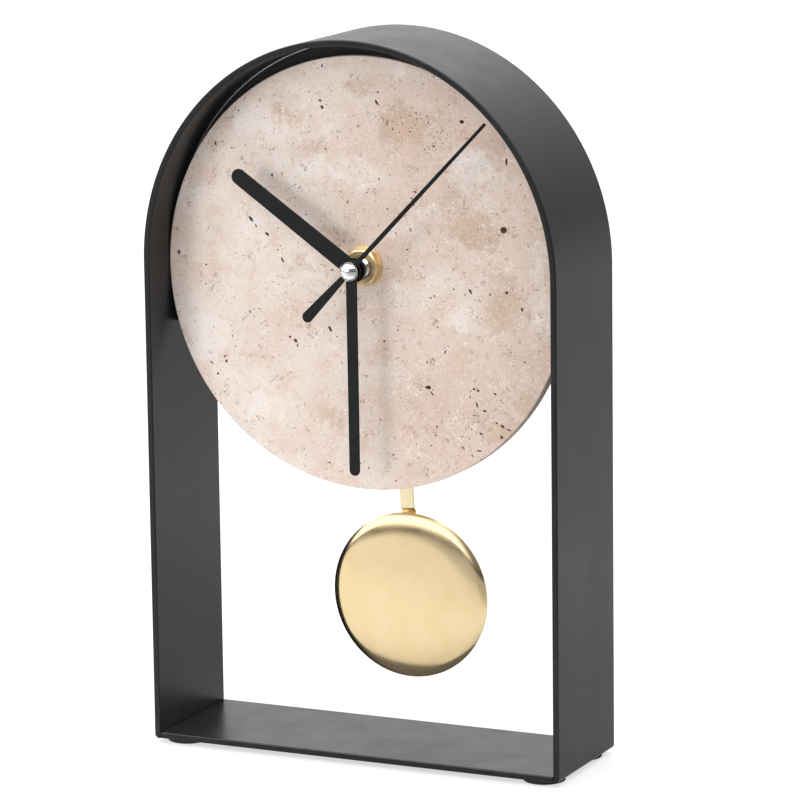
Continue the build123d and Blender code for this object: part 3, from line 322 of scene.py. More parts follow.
def rounded(points, radius, steps=4, closed=True, keep=()):
    """Outline with its corners rounded to this radius; corners named in keep stay sharp."""
    result = []
    for k, point in enumerate(points):
        before, after = Vector(points[k - 1]), Vector(points[(k + 1) % len(points)])
        here = Vector(point)
        if k in keep or (not closed and k in (0, len(points) - 1)):
            result.append(tuple(here))
            continue
        back, ahead = before - here, after - here
        half = back.angle(ahead) / 2
        reach = min(radius / math.tan(half), 0.49 * back.length, 0.49 * ahead.length)
        start, end = here + back.normalized() * reach, here + ahead.normalized() * reach
        for step in range(steps + 1):
            share = step / steps
            result.append(tuple(start.lerp(here, share).lerp(here.lerp(end, share), share)))
    return result


def pads_tree():
    """The start mesh set down at the four corners of an oblong."""
    tree, size = shape_tree("four_pads", ("Spread across", "Spread deep"))
    places = add_node(tree, "GeometryNodeMeshGrid", {
        "Size X": size["Spread across"], "Size Y": size["Spread deep"], "Vertices X": 2, "Vertices Y": 2,
    }, 0)
    pads = add_node(tree, "GeometryNodeInstanceOnPoints", {"Points": places, "Instance": size["Start"]}, 0)
    close_tree(tree, pads, rubber)
    return tree


def finish_nodes(material, slot, *names):
    """Give CAD nodes that show as they are their material."""
    for name in names:
        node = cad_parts[name]
        node.data.materials.clear()
        node.data.materials.append(material)


pad_profile = rounded([(0, PAD_HEIGHT), (PAD_RADIUS, PAD_HEIGHT), (PAD_RADIUS, 0),
                       (PAD_CUP_RADIUS + PAD_CUP_SLOPE, 0), (PAD_CUP_RADIUS, PAD_CUP_DEPTH), (0, PAD_CUP_DEPTH)],
                      PAD_ROUND, keep=(0, 1, 5))
pads = grown(pads_tree(), {"Spread across": PAD_SPREAD[0] * MM, "Spread deep": PAD_SPREAD[1] * MM},
             turned(pad_profile, (0, 0, 0), "Z", 64))
place_piece("rubber_pads", pads, rubber, "frame", "black_rubber", "rubber_feet")

# Carrier plate: thin steel sheet cut to the inside of the arch, powder-coated with the band.
# The stone is bonded to its front, and the movement is clamped against its back. It is cut a little small, so a
# hair of light shows between it and the arch at the upper left.
PLATE_FIT = 0.9980
PLATE_BREAK = 0.22
CRISP_ANGLE = 40
MERGED_SPOT = 0.002
LEVEL_ANGLE = 0.5


def eased(name, width, fit=1.0, behind=-BAND_DEPTH):
    """Copy of a solid's mesh, drawn in to a share of its size, with its sharp edges behind a depth broken."""
    shell = bmesh.new()
    shell.from_mesh(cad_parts[name].data)
    bmesh.ops.remove_doubles(shell, verts=shell.verts, dist=MERGED_SPOT * MM)
    bmesh.ops.dissolve_limit(shell, angle_limit=math.radians(LEVEL_ANGLE), verts=shell.verts, edges=shell.edges)
    middle_up = BAND_SPRINGING * MM
    for corner in shell.verts:
        corner.co.x *= fit
        corner.co.z = min(corner.co.z, middle_up + (corner.co.z - middle_up) * fit)
    crisp = [edge for edge in shell.edges
             if len(edge.link_faces) == 2 and edge.calc_face_angle(0.0) > math.radians(CRISP_ANGLE)
             and min(corner.co.y for corner in edge.verts) > behind * MM]
    bmesh.ops.bevel(shell, geom=crisp, offset=width * MM, segments=2, profile=0.5, affect="EDGES",
                    clamp_overlap=True)
    bmesh.ops.triangulate(shell, faces=[face for face in shell.faces if len(face.verts) > 4])
    return made(shell, name, turn_out=False)


# Powder-coated sheet: the same coat laid thinner in the shade of the arch, so it is flatter and nearly black.
plate_coat = surface("powder_coated_sheet", "#151617", "#1d1e1f", 18, (0.42, 0.55), 0.8, 0.010, {"IOR": 1.5})
specks(plate_coat, 9.0, 0.5, 0.3, "#6f6e6a")
place_piece("carrier_sheet", eased("carrier_plate", PLATE_BREAK, fit=PLATE_FIT), plate_coat, "frame",
            "black_plate", "carrier_plate")

# Dial: a disc of beige travertine, sawn and honed smooth, with an eased front edge.
# The stone is full of small hollows that formed round gas and plants; nothing fills them. The larger ones are
# real hollows in the mesh, and pale and tan clouds, fine pores and a pinkish cast make its colour.
DIAL_RADIUS = 87.3
DIAL_CENTRE_UP = 197.0
DIAL_FRONT = -11.2
DIAL_BACK = -5.7
DIAL_EASE = 0.5
DIAL_STEPS = 240
EASE_STEPS = 4
FLAT_RING = 0.3
HUB_UP = 200.3
BUSH_HOLE = 4.2
HOLE_STEPS = 48
EDGE_CLEAR = 0.25
WASHER_CLEAR = 8.6
SMALL_HOLLOW = 0.8
HOLLOW_WOBBLE = (0.84, 1.12)
HOLLOW_DEPTH = 0.75
DEEPEST_HOLLOW = 1.5
# Rings of a hollow on its way down: share of its outline, share of its depth, how much painted shade and brown
# mineral darken it
HOLLOW_ROWS = ((1.0, 0.0, 0.0), (0.84, 0.5, 0.75), (0.45, 0.95, 1.0))
# A pore: its least length and what may come on top, its width as a share, its turn and the turn's spread
PORE_LENGTH = (0.34, 0.42)
PORE_SLIMNESS = (0.55, 0.9)
PORE_LEAN = (-58, 22)
# Colour: how far the clouds are warped, where they fade and fray, span of the painted shade, what shows of a
# crack
WARP_PATCH = 9
WARP_REACH = 16
CLOUD_FADE = (1.35, 0.35)
CLOUD_FRAY = 2.6
RIGHTWARD_SHADE = (-70, 80)
CRACK_EDGE = (0.030, 0.012)
CRACK_PATCH = 5.5
# Hollows as found on such a slab: right of the centre, above it, length, width, turn in degrees
HOLLOWS = (
    (-17.3, 82.6, 1.7, 0.7, -85), (-18.4, 68.7, 1.4, 1.1, 2), (-17.6, 66.1, 1.9, 1.2, -57),
    (-54.7, 63.2, 1.3, 0.6, -57), (-43.2, 60.6, 0.7, 0.5, 3), (-16.3, 49.4, 0.8, 0.7, -26),
    (-65.4, 49.5, 2.2, 0.8, -69), (-62.1, 50.3, 0.8, 0.6, 3), (-58, 48, 1.5, 0.5, -25),
    (-40.3, 37.8, 1.6, 1, -80), (-78.1, 24.6, 0.8, 0.7, 3), (-50.1, 19.6, 2.8, 1.4, -52),
    (-47.9, 17, 1.8, 0.6, -57), (-43, 13.9, 2.1, 1.2, -41), (-36.3, 3.7, 2.7, 0.9, -63),
    (-38.2, 7.7, 1.1, 0.6, -80), (-70.8, -0.1, 1, 0.8, 3), (-83.2, 4.3, 2.1, 1.6, 89),
    (-25.4, 22.7, 0.9, 0.6, 3), (-22.7, 62.2, 0.7, 0.5, 3), (-23.8, 32.2, 0.6, 0.4, -46),
    (-7, 28.7, 1.8, 0.6, 68), (-9.7, 37.4, 1, 0.4, -57), (-76.2, 30.8, 0.6, 0.5, 3), (6.9, 73.1, 1, 0.8, 2),
    (6.3, 69, 2.7, 1.1, -58), (43, 62.9, 2.1, 1.6, 3), (23.4, 65.5, 1, 0.6, 3), (30.8, 52.7, 1.1, 0.9, 3),
    (13.2, 58.6, 0.9, 0.7, -16), (20.7, 58.1, 0.9, 0.6, 3), (61.9, 48.2, 3, 1, -85), (60.5, 21, 3.2, 2.8, 3),
    (7, 38.6, 1.3, 0.6, -57), (10.5, 26.8, 0.9, 0.6, -47), (22, 29, 1.2, 0.6, 3), (13.9, 17.4, 1.1, 0.5, -85),
    (20.4, 19, 1.6, 0.7, -63), (18.8, 11.1, 1, 0.7, 3), (67.8, 39.5, 0.6, 0.6, 3), (64.8, 22.4, 0.7, 0.6, 3),
    (31.3, 80.2, 0.9, 0.6, 2), (22.9, 78.1, 0.6, 0.4, 2), (22.6, 34.2, 1.7, 0.7, -16), (21, 31.6, 1.3, 0.7, -26),
    (43.6, 46.2, 0.7, 0.4, -36), (37.6, 24.5, 0.6, 0.5, 3), (-71, -8, 1.1, 0.5, -46), (-14.3, 1, 1.3, 0.7, -36),
    (-16.8, -2.3, 0.7, 0.5, -57), (-15.6, -23, 3, 1.2, -63), (-12.6, -25.9, 0.9, 0.6, -46),
    (-33.5, -27.3, 1.2, 1, 4), (-31.1, -28.7, 2.1, 1.4, -57), (-30.3, -30.7, 1.4, 0.7, -69),
    (-51.3, -18.2, 1.6, 0.7, -80), (-47.1, -16.7, 0.9, 0.6, 4), (-63.2, -37.3, 1.2, 0.8, -69),
    (-62.5, -39.2, 1.3, 1.2, -57), (-69.2, -40.2, 2.4, 0.7, -35), (-66.4, -44.6, 1.2, 0.9, 4),
    (-59.5, -28.6, 1.3, 0.5, -63), (-58.2, -32.7, 0.9, 0.5, -57), (-17, -77.6, 2.3, 0.5, -10),
    (-29.8, -80.9, 1.5, 0.9, -14), (-27.8, -79.9, 0.8, 0.5, 4), (-68, -53, 0.7, 0.5, -46),
    (-10.5, -36.5, 1.2, 0.4, -46), (-41.3, -36.1, 1, 0.4, -35), (28.8, -7.7, 1.1, 0.7, 4),
    (30.4, -6.8, 1.3, 0.6, -63), (46, -4.1, 2.5, 1.1, -58), (43.7, -5.6, 1, 0.6, 4), (39, -3.6, 1.2, 0.5, -25),
    (54.4, -4.9, 1.4, 0.7, -85), (61.5, -3.6, 1.4, 1.4, 89), (68.1, -9.9, 2, 1, -80), (8.3, -26.4, 1.1, 1, 4),
    (34.9, -29, 2.1, 0.7, 68), (36.1, -26.7, 1.1, 0.4, -57), (0.3, -41, 1, 0.6, -46),
    (27.2, -43.8, 2.8, 1.6, -5), (28.9, -46.1, 2.4, 0.6, -52), (23.9, -44.8, 0.8, 0.5, 4),
    (47.2, -43.1, 1.3, 1, -25), (48.9, -43.6, 1.3, 1, 4), (45.4, -46.3, 1.4, 0.5, 79),
    (48.4, -49.3, 2.8, 0.8, -74), (51.6, -51.5, 2, 0.9, -5), (56.2, -44.4, 1.6, 0.8, -25),
    (56.9, -56.1, 1.1, 0.7, 4), (59.3, -57.2, 2.1, 1, -30), (61.9, -58.4, 2.7, 0.6, -15),
    (58.9, -61.6, 1.6, 1.2, -57), (50, -60.9, 1.6, 0.8, -25), (49.1, -67.8, 2.7, 0.7, 0),
    (42.4, -67.1, 1.6, 0.6, -63), (41.7, -62.7, 0.9, 0.5, 4), (46.2, -70, 1.3, 0.6, -46),
    (30.9, -59.5, 1.8, 0.6, 79), (30.4, -62.8, 1.3, 0.5, -57), (28.5, -67.2, 0.9, 0.7, 4),
    (6.1, -58.3, 1.1, 0.7, -57), (12.2, -65.2, 1, 0.5, -57), (11.5, -72.3, 0.8, 0.7, 4),
    (0.6, -78.5, 0.8, 0.7, 4), (12.6, -82.8, 0.9, 0.7, 5), (46.9, -53.7, 0.8, 0.6, 4),
    (48.9, -56.1, 0.7, 0.6, 4), (69, -30.9, 0.9, 0.7, 4), (48.7, -14.1, 1, 0.5, -57),
    (50.6, -14.6, 0.9, 0.5, -36), (22.7, -72.7, 0.8, 0.5, 4), (31.6, -19.2, 0.9, 0.6, 4),
    (14.4, -21.5, 0.8, 0.6, 4),
)
# Places where pores crowd together: right, above, spread, how many
PORE_CROWDS = (
    (13.4, 60.7, 4.2, 16), (23.3, 61.2, 5.5, 26), (31, 53.6, 5.2, 34), (33.7, 60.1, 4.5, 22),
    (-32.4, 29.4, 3.0, 14), (-40.9, 48.3, 2.2, 8), (-8.9, 32.6, 3.4, 7), (38.5, 34.2, 5.0, 14),
    (47.4, -15.3, 3.4, 9), (35.5, -76.6, 3.0, 7), (22.8, -41.9, 3.6, 10), (47, -58, 9.5, 52),
    (60, -50, 6, 14), (24, -62, 9, 18), (26, 28, 9, 22), (52, 28, 7, 16), (-14, -4, 9, 14), (0, 0, 85, 300),
)
# Clouds in the stone: right, above, half width, half height, turn, and how much paler (above 0) or browner
CLOUDS = (
    (-22, 38.3, 15, 7.5, -32, 0.95), (39.7, -15, 11, 7, 20, 0.55), (28.9, 25.4, 7, 5, 45, 0.75),
    (76, -8, 8, 20, 4, 0.4), (17, 82, 8, 4, -15, 0.55), (-49.7, 58.7, 12, 5, 40, 0.5),
    (-52, -54, 32, 22, -40, 0.3), (-40, 42, 15, 8, -50, 0.45), (48, 45, 16, 10, -30, 0.55),
    (76, 13, 6, 8, 0, 0.4), (15, 18, 7, 5, -20, 0.5), (0, 39, 17, 8, -35, 0.4), (17.3, 60.5, 14, 10, -35, -0.7),
    (48, 20, 13, 8, -18, -0.85), (-33, 64.3, 10, 8, 10, -0.4), (-22, 50, 9, 5, -30, -0.5),
    (58.2, -58.7, 12, 7, 45, -0.6), (60, -8, 9, 16, 0, -0.6), (-14, 15, 8, 5, -35, -0.5),
    (-30, 2, 8, 6, -20, -0.45), (0, 75, 9, 5, 0, -0.5), (-15, -60, 8, 7, 30, -0.5), (44, -30, 7, 6, 0, -0.4),
    (70, -47, 6, 10, 35, -0.6), (18, 3, 8, 6, 0, -0.4), (7, -33, 7, 9, 20, -0.4),
)
# Cracks: size of the curls they follow, where the pattern is taken from, colour
CRACKS = ((2.3, 3.7, "#8d6a52"), (1.9, 9.1, "#fffaf5"), (3.1, 21.3, "#9c7a64"))


def skirt(shell, first, second):
    """Faces between two closed rings with as many corners."""
    for k in range(len(first)):
        following = (k + 1) % len(first)
        shell.faces.new((first[k], first[following], second[following], second[k]))


def flat_face(shell, loops):
    """Fill the flat area inside the first loop of corners and outside the others, all in one front plane."""
    corners = [corner for loop in loops for corner in loop]
    place = {corner: k for k, corner in enumerate(corners)}
    rims = [(place[a], place[b]) for loop in loops for a, b in zip(loop, loop[1:] + loop[:1])]
    outlines = [[place[corner] for corner in loop] for loop in loops]
    spots = [Vector((corner.co.x / MM, corner.co.z / MM)) for corner in corners]
    result = geometry.delaunay_2d_cdt(spots, rims, outlines, 2, 0.00001)
    origin = [source[0] if source else None for source in result[3]]
    for triangle in result[2]:
        picked = [origin[k] for k in triangle]
        if None not in picked and len(set(picked)) == 3:
            shell.faces.new([corners[k] for k in picked])


def circle_points(radius, count, right=0.0, up=0.0):
    """Points of a circle, right and up, turning one way."""
    return [(right + radius * math.cos(2 * math.pi * k / count),
             up + radius * math.sin(2 * math.pi * k / count)) for k in range(count)]


def hollow_list():
    """Every hollow with its size: the named ones first, then pores strewn in their crowds."""
    strewn = random.Random(11)
    kept = []
    circles = []

    def fits(right, up, reach):
        clear = math.hypot(right, up) < DIAL_RADIUS - DIAL_EASE - reach - EDGE_CLEAR
        clear = clear and math.hypot(right, up - (HUB_UP - DIAL_CENTRE_UP)) > WASHER_CLEAR + reach
        return clear and all(math.hypot(right - a, up - b) > (reach + c) * 1.02 for a, b, c in circles)

    for right, up, length, width, turn in HOLLOWS:
        covered = []
        steps = max(1, round(length / width))
        for k in range(steps):
            along = ((k + 0.5) / steps - 0.5) * max(0.0, length - width * 0.6)
            covered.append((right + along * math.cos(math.radians(turn)),
                            up + along * math.sin(math.radians(turn)), width / 2 * 1.16))
        if all(fits(*circle) for circle in covered):
            circles += covered
            kept.append((right, up, length, width, turn))
    for right, up, spread, count in PORE_CROWDS:
        for _ in range(count):
            spot_right, spot_up = right + strewn.gauss(0, spread * 0.5), up + strewn.gauss(0, spread * 0.5)
            length = PORE_LENGTH[0] + PORE_LENGTH[1] * strewn.random() ** 2
            width = length * strewn.uniform(*PORE_SLIMNESS)
            if fits(spot_right, spot_up, length * 0.58):
                circles.append((spot_right, spot_up, length * 0.58))
                kept.append((spot_right, spot_up, length, width, strewn.gauss(*PORE_LEAN)))
    return kept


def stone_disc():
    """Disc with its eased edge and hub hole, and every hollow cut into its face with painted shade inside."""
    shell = bmesh.new()
    # How far down a hollow each corner lies, for the painted shade and brown mineral inside it.
    hollow_shade_and_mineral = shell.verts.layers.float.new("hollow_shade_and_mineral")
    chance = random.Random(5)

    def ring(points, depth):
        return [shell.verts.new(Vector((right, depth, up + DIAL_CENTRE_UP)) * MM) for right, up in points]

    edge = []
    for step in range(EASE_STEPS + 1):
        turn = math.pi / 2 * step / EASE_STEPS
        inset = DIAL_EASE * (1 - math.sin(turn))
        depth = DIAL_FRONT + DIAL_EASE * (1 - math.cos(turn))
        edge.append(ring(circle_points(DIAL_RADIUS - inset, DIAL_STEPS), depth))
    edge.append(ring(circle_points(DIAL_RADIUS, DIAL_STEPS), DIAL_BACK))
    edge.insert(0, ring(circle_points(DIAL_RADIUS - DIAL_EASE - FLAT_RING, DIAL_STEPS), DIAL_FRONT))
    hub_up = HUB_UP - DIAL_CENTRE_UP
    hole = [ring(circle_points(BUSH_HOLE, HOLE_STEPS, 0.0, hub_up), depth) for depth in (DIAL_FRONT, DIAL_BACK)]
    for first, second in zip(edge, edge[1:]):
        skirt(shell, first, second)
    skirt(shell, *hole)
    rims = []
    for right, up, length, width, turn in hollow_list():
        count = 8 if length < SMALL_HOLLOW else 14
        tilt = math.radians(turn)
        wobble = [chance.uniform(*HOLLOW_WOBBLE) for _ in range(count)]
        depth = min(HOLLOW_DEPTH * width, DEEPEST_HOLLOW)
        rings = []
        for share, down, shade in HOLLOW_ROWS:
            points = []
            for k in range(count):
                around = 2 * math.pi * k / count
                a = length / 2 * math.cos(around) * wobble[k] * share
                b = width / 2 * math.sin(around) * wobble[k] * share
                points.append((right + a * math.cos(tilt) - b * math.sin(tilt),
                               up + a * math.sin(tilt) + b * math.cos(tilt)))
            rings.append(ring(points, DIAL_FRONT + depth * down))
            for corner in rings[-1]:
                corner[hollow_shade_and_mineral] = shade
        bottom = ring([(right, up)], DIAL_FRONT + depth)[0]
        bottom[hollow_shade_and_mineral] = 1.0
        skirt(shell, rings[0], rings[1])
        skirt(shell, rings[1], rings[2])
        for k in range(count):
            shell.faces.new((rings[2][k], rings[2][(k + 1) % count], bottom))
        rims.append(rings[0])
    flat_face(shell, [edge[0], hole[0]] + rims)
    flat_face(shell, [edge[-1], hole[1]])
    return made(shell, "stone_disc")


def blotches(material, vector, patch, rough, low, high, most, colour):
    """Ragged blotches of a colour where a noise with patches of this size passes from low to high. In mm."""
    tree = material.node_tree
    drift = add_node(tree, "ShaderNodeTexNoise",
                     {"Vector": vector, "Scale": 1 / (patch * MM), "Detail": 4.0, "Roughness": rough}, 0)
    mask = add_node(tree, "ShaderNodeMapRange",
                    {"Value": drift, "From Min": low, "From Max": high, "To Max": most}, 0)
    tint(material, mask, colour)


# Honed travertine: matt and dry, cream to beige, with painted shade that darkens it a little to the right. It
# has warped clouds, a blush of pink, pale and tan crystals, a few hair cracks, and pores darkened by painted
# shade over brown mineral.
travertine = surface("honed_travertine", "#e4cfc1", "#f6ebe3", 34, (0.5, 0.62), 0.7, 0.03, {"IOR": 1.49})
stone_tree = travertine.node_tree
stone_place = stone_tree.nodes["place"].outputs["Object"]
warp = add_node(stone_tree, "ShaderNodeTexNoise",
                {"Vector": stone_place, "Scale": 1 / (WARP_PATCH * MM), "Detail": 4.0, "Roughness": 0.65},
                "Color")
centred = add_node(stone_tree, "ShaderNodeVectorMath", {0: warp, 1: (0.5, 0.5, 0.5)}, 0, operation="SUBTRACT")
pushed = add_node(stone_tree, "ShaderNodeVectorMath", {0: centred, "Scale": WARP_REACH * MM}, 0,
                  operation="SCALE")
warped = add_node(stone_tree, "ShaderNodeVectorMath", {0: stone_place, 1: pushed}, 0, operation="ADD")
strongest = {}
for right, up, half_width, half_height, turn, tone in CLOUDS:
    centre = Vector((right, 0, up + DIAL_CENTRE_UP)) * MM
    moved = add_node(stone_tree, "ShaderNodeVectorMath", {0: warped, 1: centre}, 0, operation="SUBTRACT")
    spun = add_node(stone_tree, "ShaderNodeMapping", {
        "Vector": moved, "Rotation": (0, math.radians(turn), 0),
        "Scale": (1 / (half_width * MM), 0.0, 1 / (half_height * MM)),
    }, 0)
    away = add_node(stone_tree, "ShaderNodeVectorMath", {0: spun}, "Value", operation="LENGTH")
    there = add_node(stone_tree, "ShaderNodeMapRange", {
        "Value": away, "From Min": CLOUD_FADE[0], "From Max": CLOUD_FADE[1], "To Max": abs(tone),
    }, 0, interpolation_type="SMOOTHSTEP")
    kind = "paler" if tone > 0 else "browner"
    if kind in strongest:
        there = add_node(stone_tree, "ShaderNodeMath", {0: strongest[kind], 1: there}, 0, operation="MAXIMUM")
    strongest[kind] = there
# Painted shade: the stone is darkened a little towards the right, where less of the key light falls.
sideways = add_node(stone_tree, "ShaderNodeSeparateXYZ", {0: warped}, 0)
rightward_shade = add_node(stone_tree, "ShaderNodeMapRange",
                    {"Value": sideways, "From Min": RIGHTWARD_SHADE[0] * MM, "From Max": RIGHTWARD_SHADE[1] * MM}, 0)
tint(travertine, rightward_shade, "#ebe3dd", blend="MULTIPLY")
ragged = add_node(stone_tree, "ShaderNodeTexNoise",
                  {"Vector": stone_place, "Scale": 1 / (CLOUD_FRAY * MM), "Detail": 6.0, "Roughness": 0.72}, 0)
for kind, colour in (("browner", "#cbb09a"), ("paler", "#f3eae4")):
    fray = add_node(stone_tree, "ShaderNodeMath", {0: ragged, 1: 0.5}, 0, operation="SUBTRACT")
    wider = add_node(stone_tree, "ShaderNodeMath", {0: fray, 1: 1.1}, 0, operation="MULTIPLY")
    torn = add_node(stone_tree, "ShaderNodeMath", {0: strongest[kind], 1: wider}, 0, operation="ADD")
    cloud = add_node(stone_tree, "ShaderNodeMapRange",
                     {"Value": torn, "From Min": 0.22, "From Max": 0.62, "To Max": 0.8}, 0)
    tint(travertine, cloud, colour)
blotches(travertine, warped, 12, 0.5, 0.52, 0.66, 0.42, "#dcb9a2")
blotches(travertine, stone_place, 0.9, 0.75, 0.57, 0.70, 0.5, "#b08d78")
blotches(travertine, stone_place, 0.9, 0.75, 0.44, 0.32, 0.7, "#fbf5f0")
specks(travertine, 1.25, 0.34, 0.05, "#fff9f3")
for size, seed, colour in CRACKS:
    shifted = add_node(stone_tree, "ShaderNodeVectorMath", {0: stone_place, 1: (seed, seed, seed)}, 0,
                       operation="ADD")
    curl = add_node(stone_tree, "ShaderNodeTexNoise",
                    {"Vector": shifted, "Scale": 1 / (size * MM), "Detail": 1.5, "Distortion": 1.0}, 0)
    centred = add_node(stone_tree, "ShaderNodeMath", {0: curl, 1: 0.5}, 0, operation="SUBTRACT")
    off_line = add_node(stone_tree, "ShaderNodeMath", {0: centred}, 0, operation="ABSOLUTE")
    line = add_node(stone_tree, "ShaderNodeMapRange",
                    {"Value": off_line, "From Min": CRACK_EDGE[0], "From Max": CRACK_EDGE[1]}, 0)
    places = add_node(stone_tree, "ShaderNodeTexNoise",
                      {"Vector": shifted, "Scale": 1 / (CRACK_PATCH * MM), "Detail": 2.0}, 0)
    chosen = add_node(stone_tree, "ShaderNodeMapRange",
                      {"Value": places, "From Min": 0.60, "From Max": 0.68, "To Max": 0.7}, 0)
    crack = add_node(stone_tree, "ShaderNodeMath", {0: line, 1: chosen}, 0, operation="MULTIPLY")
    tint(travertine, crack, colour)
# Fine pores too small to model, painted as brown specks: their darkness is painted shade over brown mineral.
specks(travertine, 1.3, 0.42, 0.16, "#94735e")
specks(travertine, 2.7, 0.64, 0.24, "#553a2c")
# Painted shade over brown mineral: each hollow darkens from its rim down to its floor.
tint(travertine, add_node(stone_tree, "ShaderNodeAttribute", None, "Fac", attribute_name="hollow_shade_and_mineral"), "#4e3325")
place_piece("stone_dial", stone_disc(), travertine, "frame", "travertine", "dial_disc", sharp=25)

# Nut and washers: a thin turned brass washer and a hexagon nut, both polished and lacquered, pull the movement
# and the stone together. Behind the carrier plate a soft rubber washer takes up the play.
NUT_FLATS = 14.0
NUT_CORNERS = 7.8
NUT_FRONT = -14.9
WASHER_FRONT = -11.8
WASHER_RADIUS = 8.0
WASHER_EDGE = 0.15
NUT_BORE = 4.02
NUT_CHAMFER = 1.1
NUT_MOUTH = 0.8
NUT_STEPS = 144

# Lacquered brass: pale gold, and clouded enough by the lacquer to smear what it mirrors into broad fields.
brass = surface("polished_lacquered_brass", "#dac092", "#e8cfa2", 5, (0.40, 0.48), 0.35, 0.004,
                {"Metallic": 1.0})


def hexagon_nut():
    """Nut whose six flats cut into a turned, chamfered blank, so each flat ends in a curved edge."""
    shell = bmesh.new()
    rows = []
    profile = [(NUT_BORE, WASHER_FRONT, False), (NUT_CORNERS, WASHER_FRONT, True)]
    profile += [(NUT_CORNERS, NUT_FRONT + NUT_CHAMFER * (1 + 0.6 * k), True) for k in (1.6, 1.2, 0.8, 0.4, 0)]
    profile += [(NUT_CORNERS - NUT_CHAMFER * k, NUT_FRONT + NUT_CHAMFER * (1 - k), True)
                for k in (0.15, 0.3, 0.45, 0.6, 0.75, 0.9)]
    profile += [(NUT_CORNERS - NUT_CHAMFER * 1.05, NUT_FRONT, False),
                (NUT_BORE + NUT_MOUTH + 0.1, NUT_FRONT, False), (NUT_BORE + NUT_MOUTH, NUT_FRONT + 0.05, False),
                (NUT_BORE, NUT_FRONT + NUT_MOUTH, False)]
    for radius, depth, cut in profile:
        row = []
        for k in range(NUT_STEPS):
            turn = 2 * math.pi * k / NUT_STEPS
            off_flat = (turn + math.pi / 6) % (math.pi / 3) - math.pi / 6
            reach = min(radius, NUT_FLATS / 2 / math.cos(off_flat)) if cut else radius
            spot = Vector((reach * math.sin(turn), depth, HUB_UP + reach * math.cos(turn))) * MM
            row.append(shell.verts.new(spot))
        rows.append(row)
    for first, second in zip(rows, rows[1:] + rows[:1]):
        skirt(shell, first, second)
    return made(shell, "hexagon_nut")


hub = (0, 0, HUB_UP)
place_piece("hexagon_nut", hexagon_nut(), brass, "frame", "bright_brass", "dial_nut", sharp=20)
washer_profile = rounded([(BUSH_HOLE, WASHER_FRONT), (WASHER_RADIUS, WASHER_FRONT), (WASHER_RADIUS, DIAL_FRONT),
                          (BUSH_HOLE, DIAL_FRONT)], WASHER_EDGE)
place_piece("turned_washer", turned(washer_profile, hub), brass, "frame", "bright_brass", "brass_washer")
finish_nodes(rubber, "black_rubber", "rubber_washer")

# Threaded bush: brass tube of the movement, nickel-plated, with a fine metric thread cut along it.
# The thread's crests catch the light as thin rings between the nut and the hour hand's boss.
THREAD_OUTSIDE = 4.0
THREAD_DEPTH = 0.38
THREAD_PITCH = 0.75
THREAD_RUN_OUT = 0.45
THREAD_STEPS = 40
RIDGE_SHIFT = 0.02
RIDGE_TRIM = 0.03
BUSH_BORE = 2.6
BUSH_FRONT = -18.4
BUSH_CHAMFER = 0.3
BUSH_FLANGE = (6.0, -2.2, -1.3)

# Nickel plate: warm white metal with a soft shine, half way between a mirror and satin.
nickel = surface("plated_nickel", "#b9b6ae", "#d5d2cb", 3, (0.16, 0.30), 0.3, 0.004, {"Metallic": 1.0})


def thread_tree():
    """Ridge wound along the bush as a helix, with a triangular section."""
    tree, size = shape_tree("wound_thread", ("Mean radius", "Turns", "Rise", "Ridge"))
    helix = add_node(tree, "GeometryNodeCurveSpiral", {
        "Resolution": THREAD_STEPS, "Rotations": size["Turns"], "Start Radius": size["Mean radius"],
        "End Radius": size["Mean radius"], "Height": size["Rise"],
    }, 0)
    level = add_node(tree, "GeometryNodeSetCurveNormal", {0: helix}, 0, mode="Z_UP")
    ridge = add_node(tree, "GeometryNodeCurvePrimitiveCircle", {"Resolution": 4, "Radius": size["Ridge"]}, 0)
    wound = add_node(tree, "GeometryNodeCurveToMesh",
                     {"Curve": level, "Profile Curve": ridge, "Fill Caps": True}, 0)
    close_tree(tree, wound, nickel)
    return tree


def bush_mesh():
    """Turned tube with its flange, and the thread's ridge laid round it."""
    core = THREAD_OUTSIDE - THREAD_DEPTH
    profile = [(BUSH_BORE, BUSH_FRONT), (core - BUSH_CHAMFER, BUSH_FRONT), (core, BUSH_FRONT + BUSH_CHAMFER),
               (core, BUSH_FLANGE[1]), (BUSH_FLANGE[0], BUSH_FLANGE[1]), (BUSH_FLANGE[0], BUSH_FLANGE[2]),
               (BUSH_BORE, BUSH_FLANGE[2])]
    run = BUSH_FLANGE[1] - BUSH_FRONT - 2 * THREAD_RUN_OUT
    thread = grown(thread_tree(), {"Mean radius": (core + RIDGE_SHIFT) * MM, "Turns": run / THREAD_PITCH,
                                   "Rise": run * MM, "Ridge": (THREAD_DEPTH - RIDGE_TRIM) * MM})
    thread.transform(Matrix.Translation(Vector((0, BUSH_FRONT + THREAD_RUN_OUT, HUB_UP)) * MM)
                     @ Matrix.Rotation(math.radians(-90), 4, "X"))
    shell = bmesh.new()
    shell.from_mesh(turned(profile, hub, steps=64))
    shell.from_mesh(outward(thread))
    return made(shell, "bush", turn_out=False)


place_piece("cut_thread_bush", bush_mesh(), nickel, "frame", "nickel", "threaded_bush")

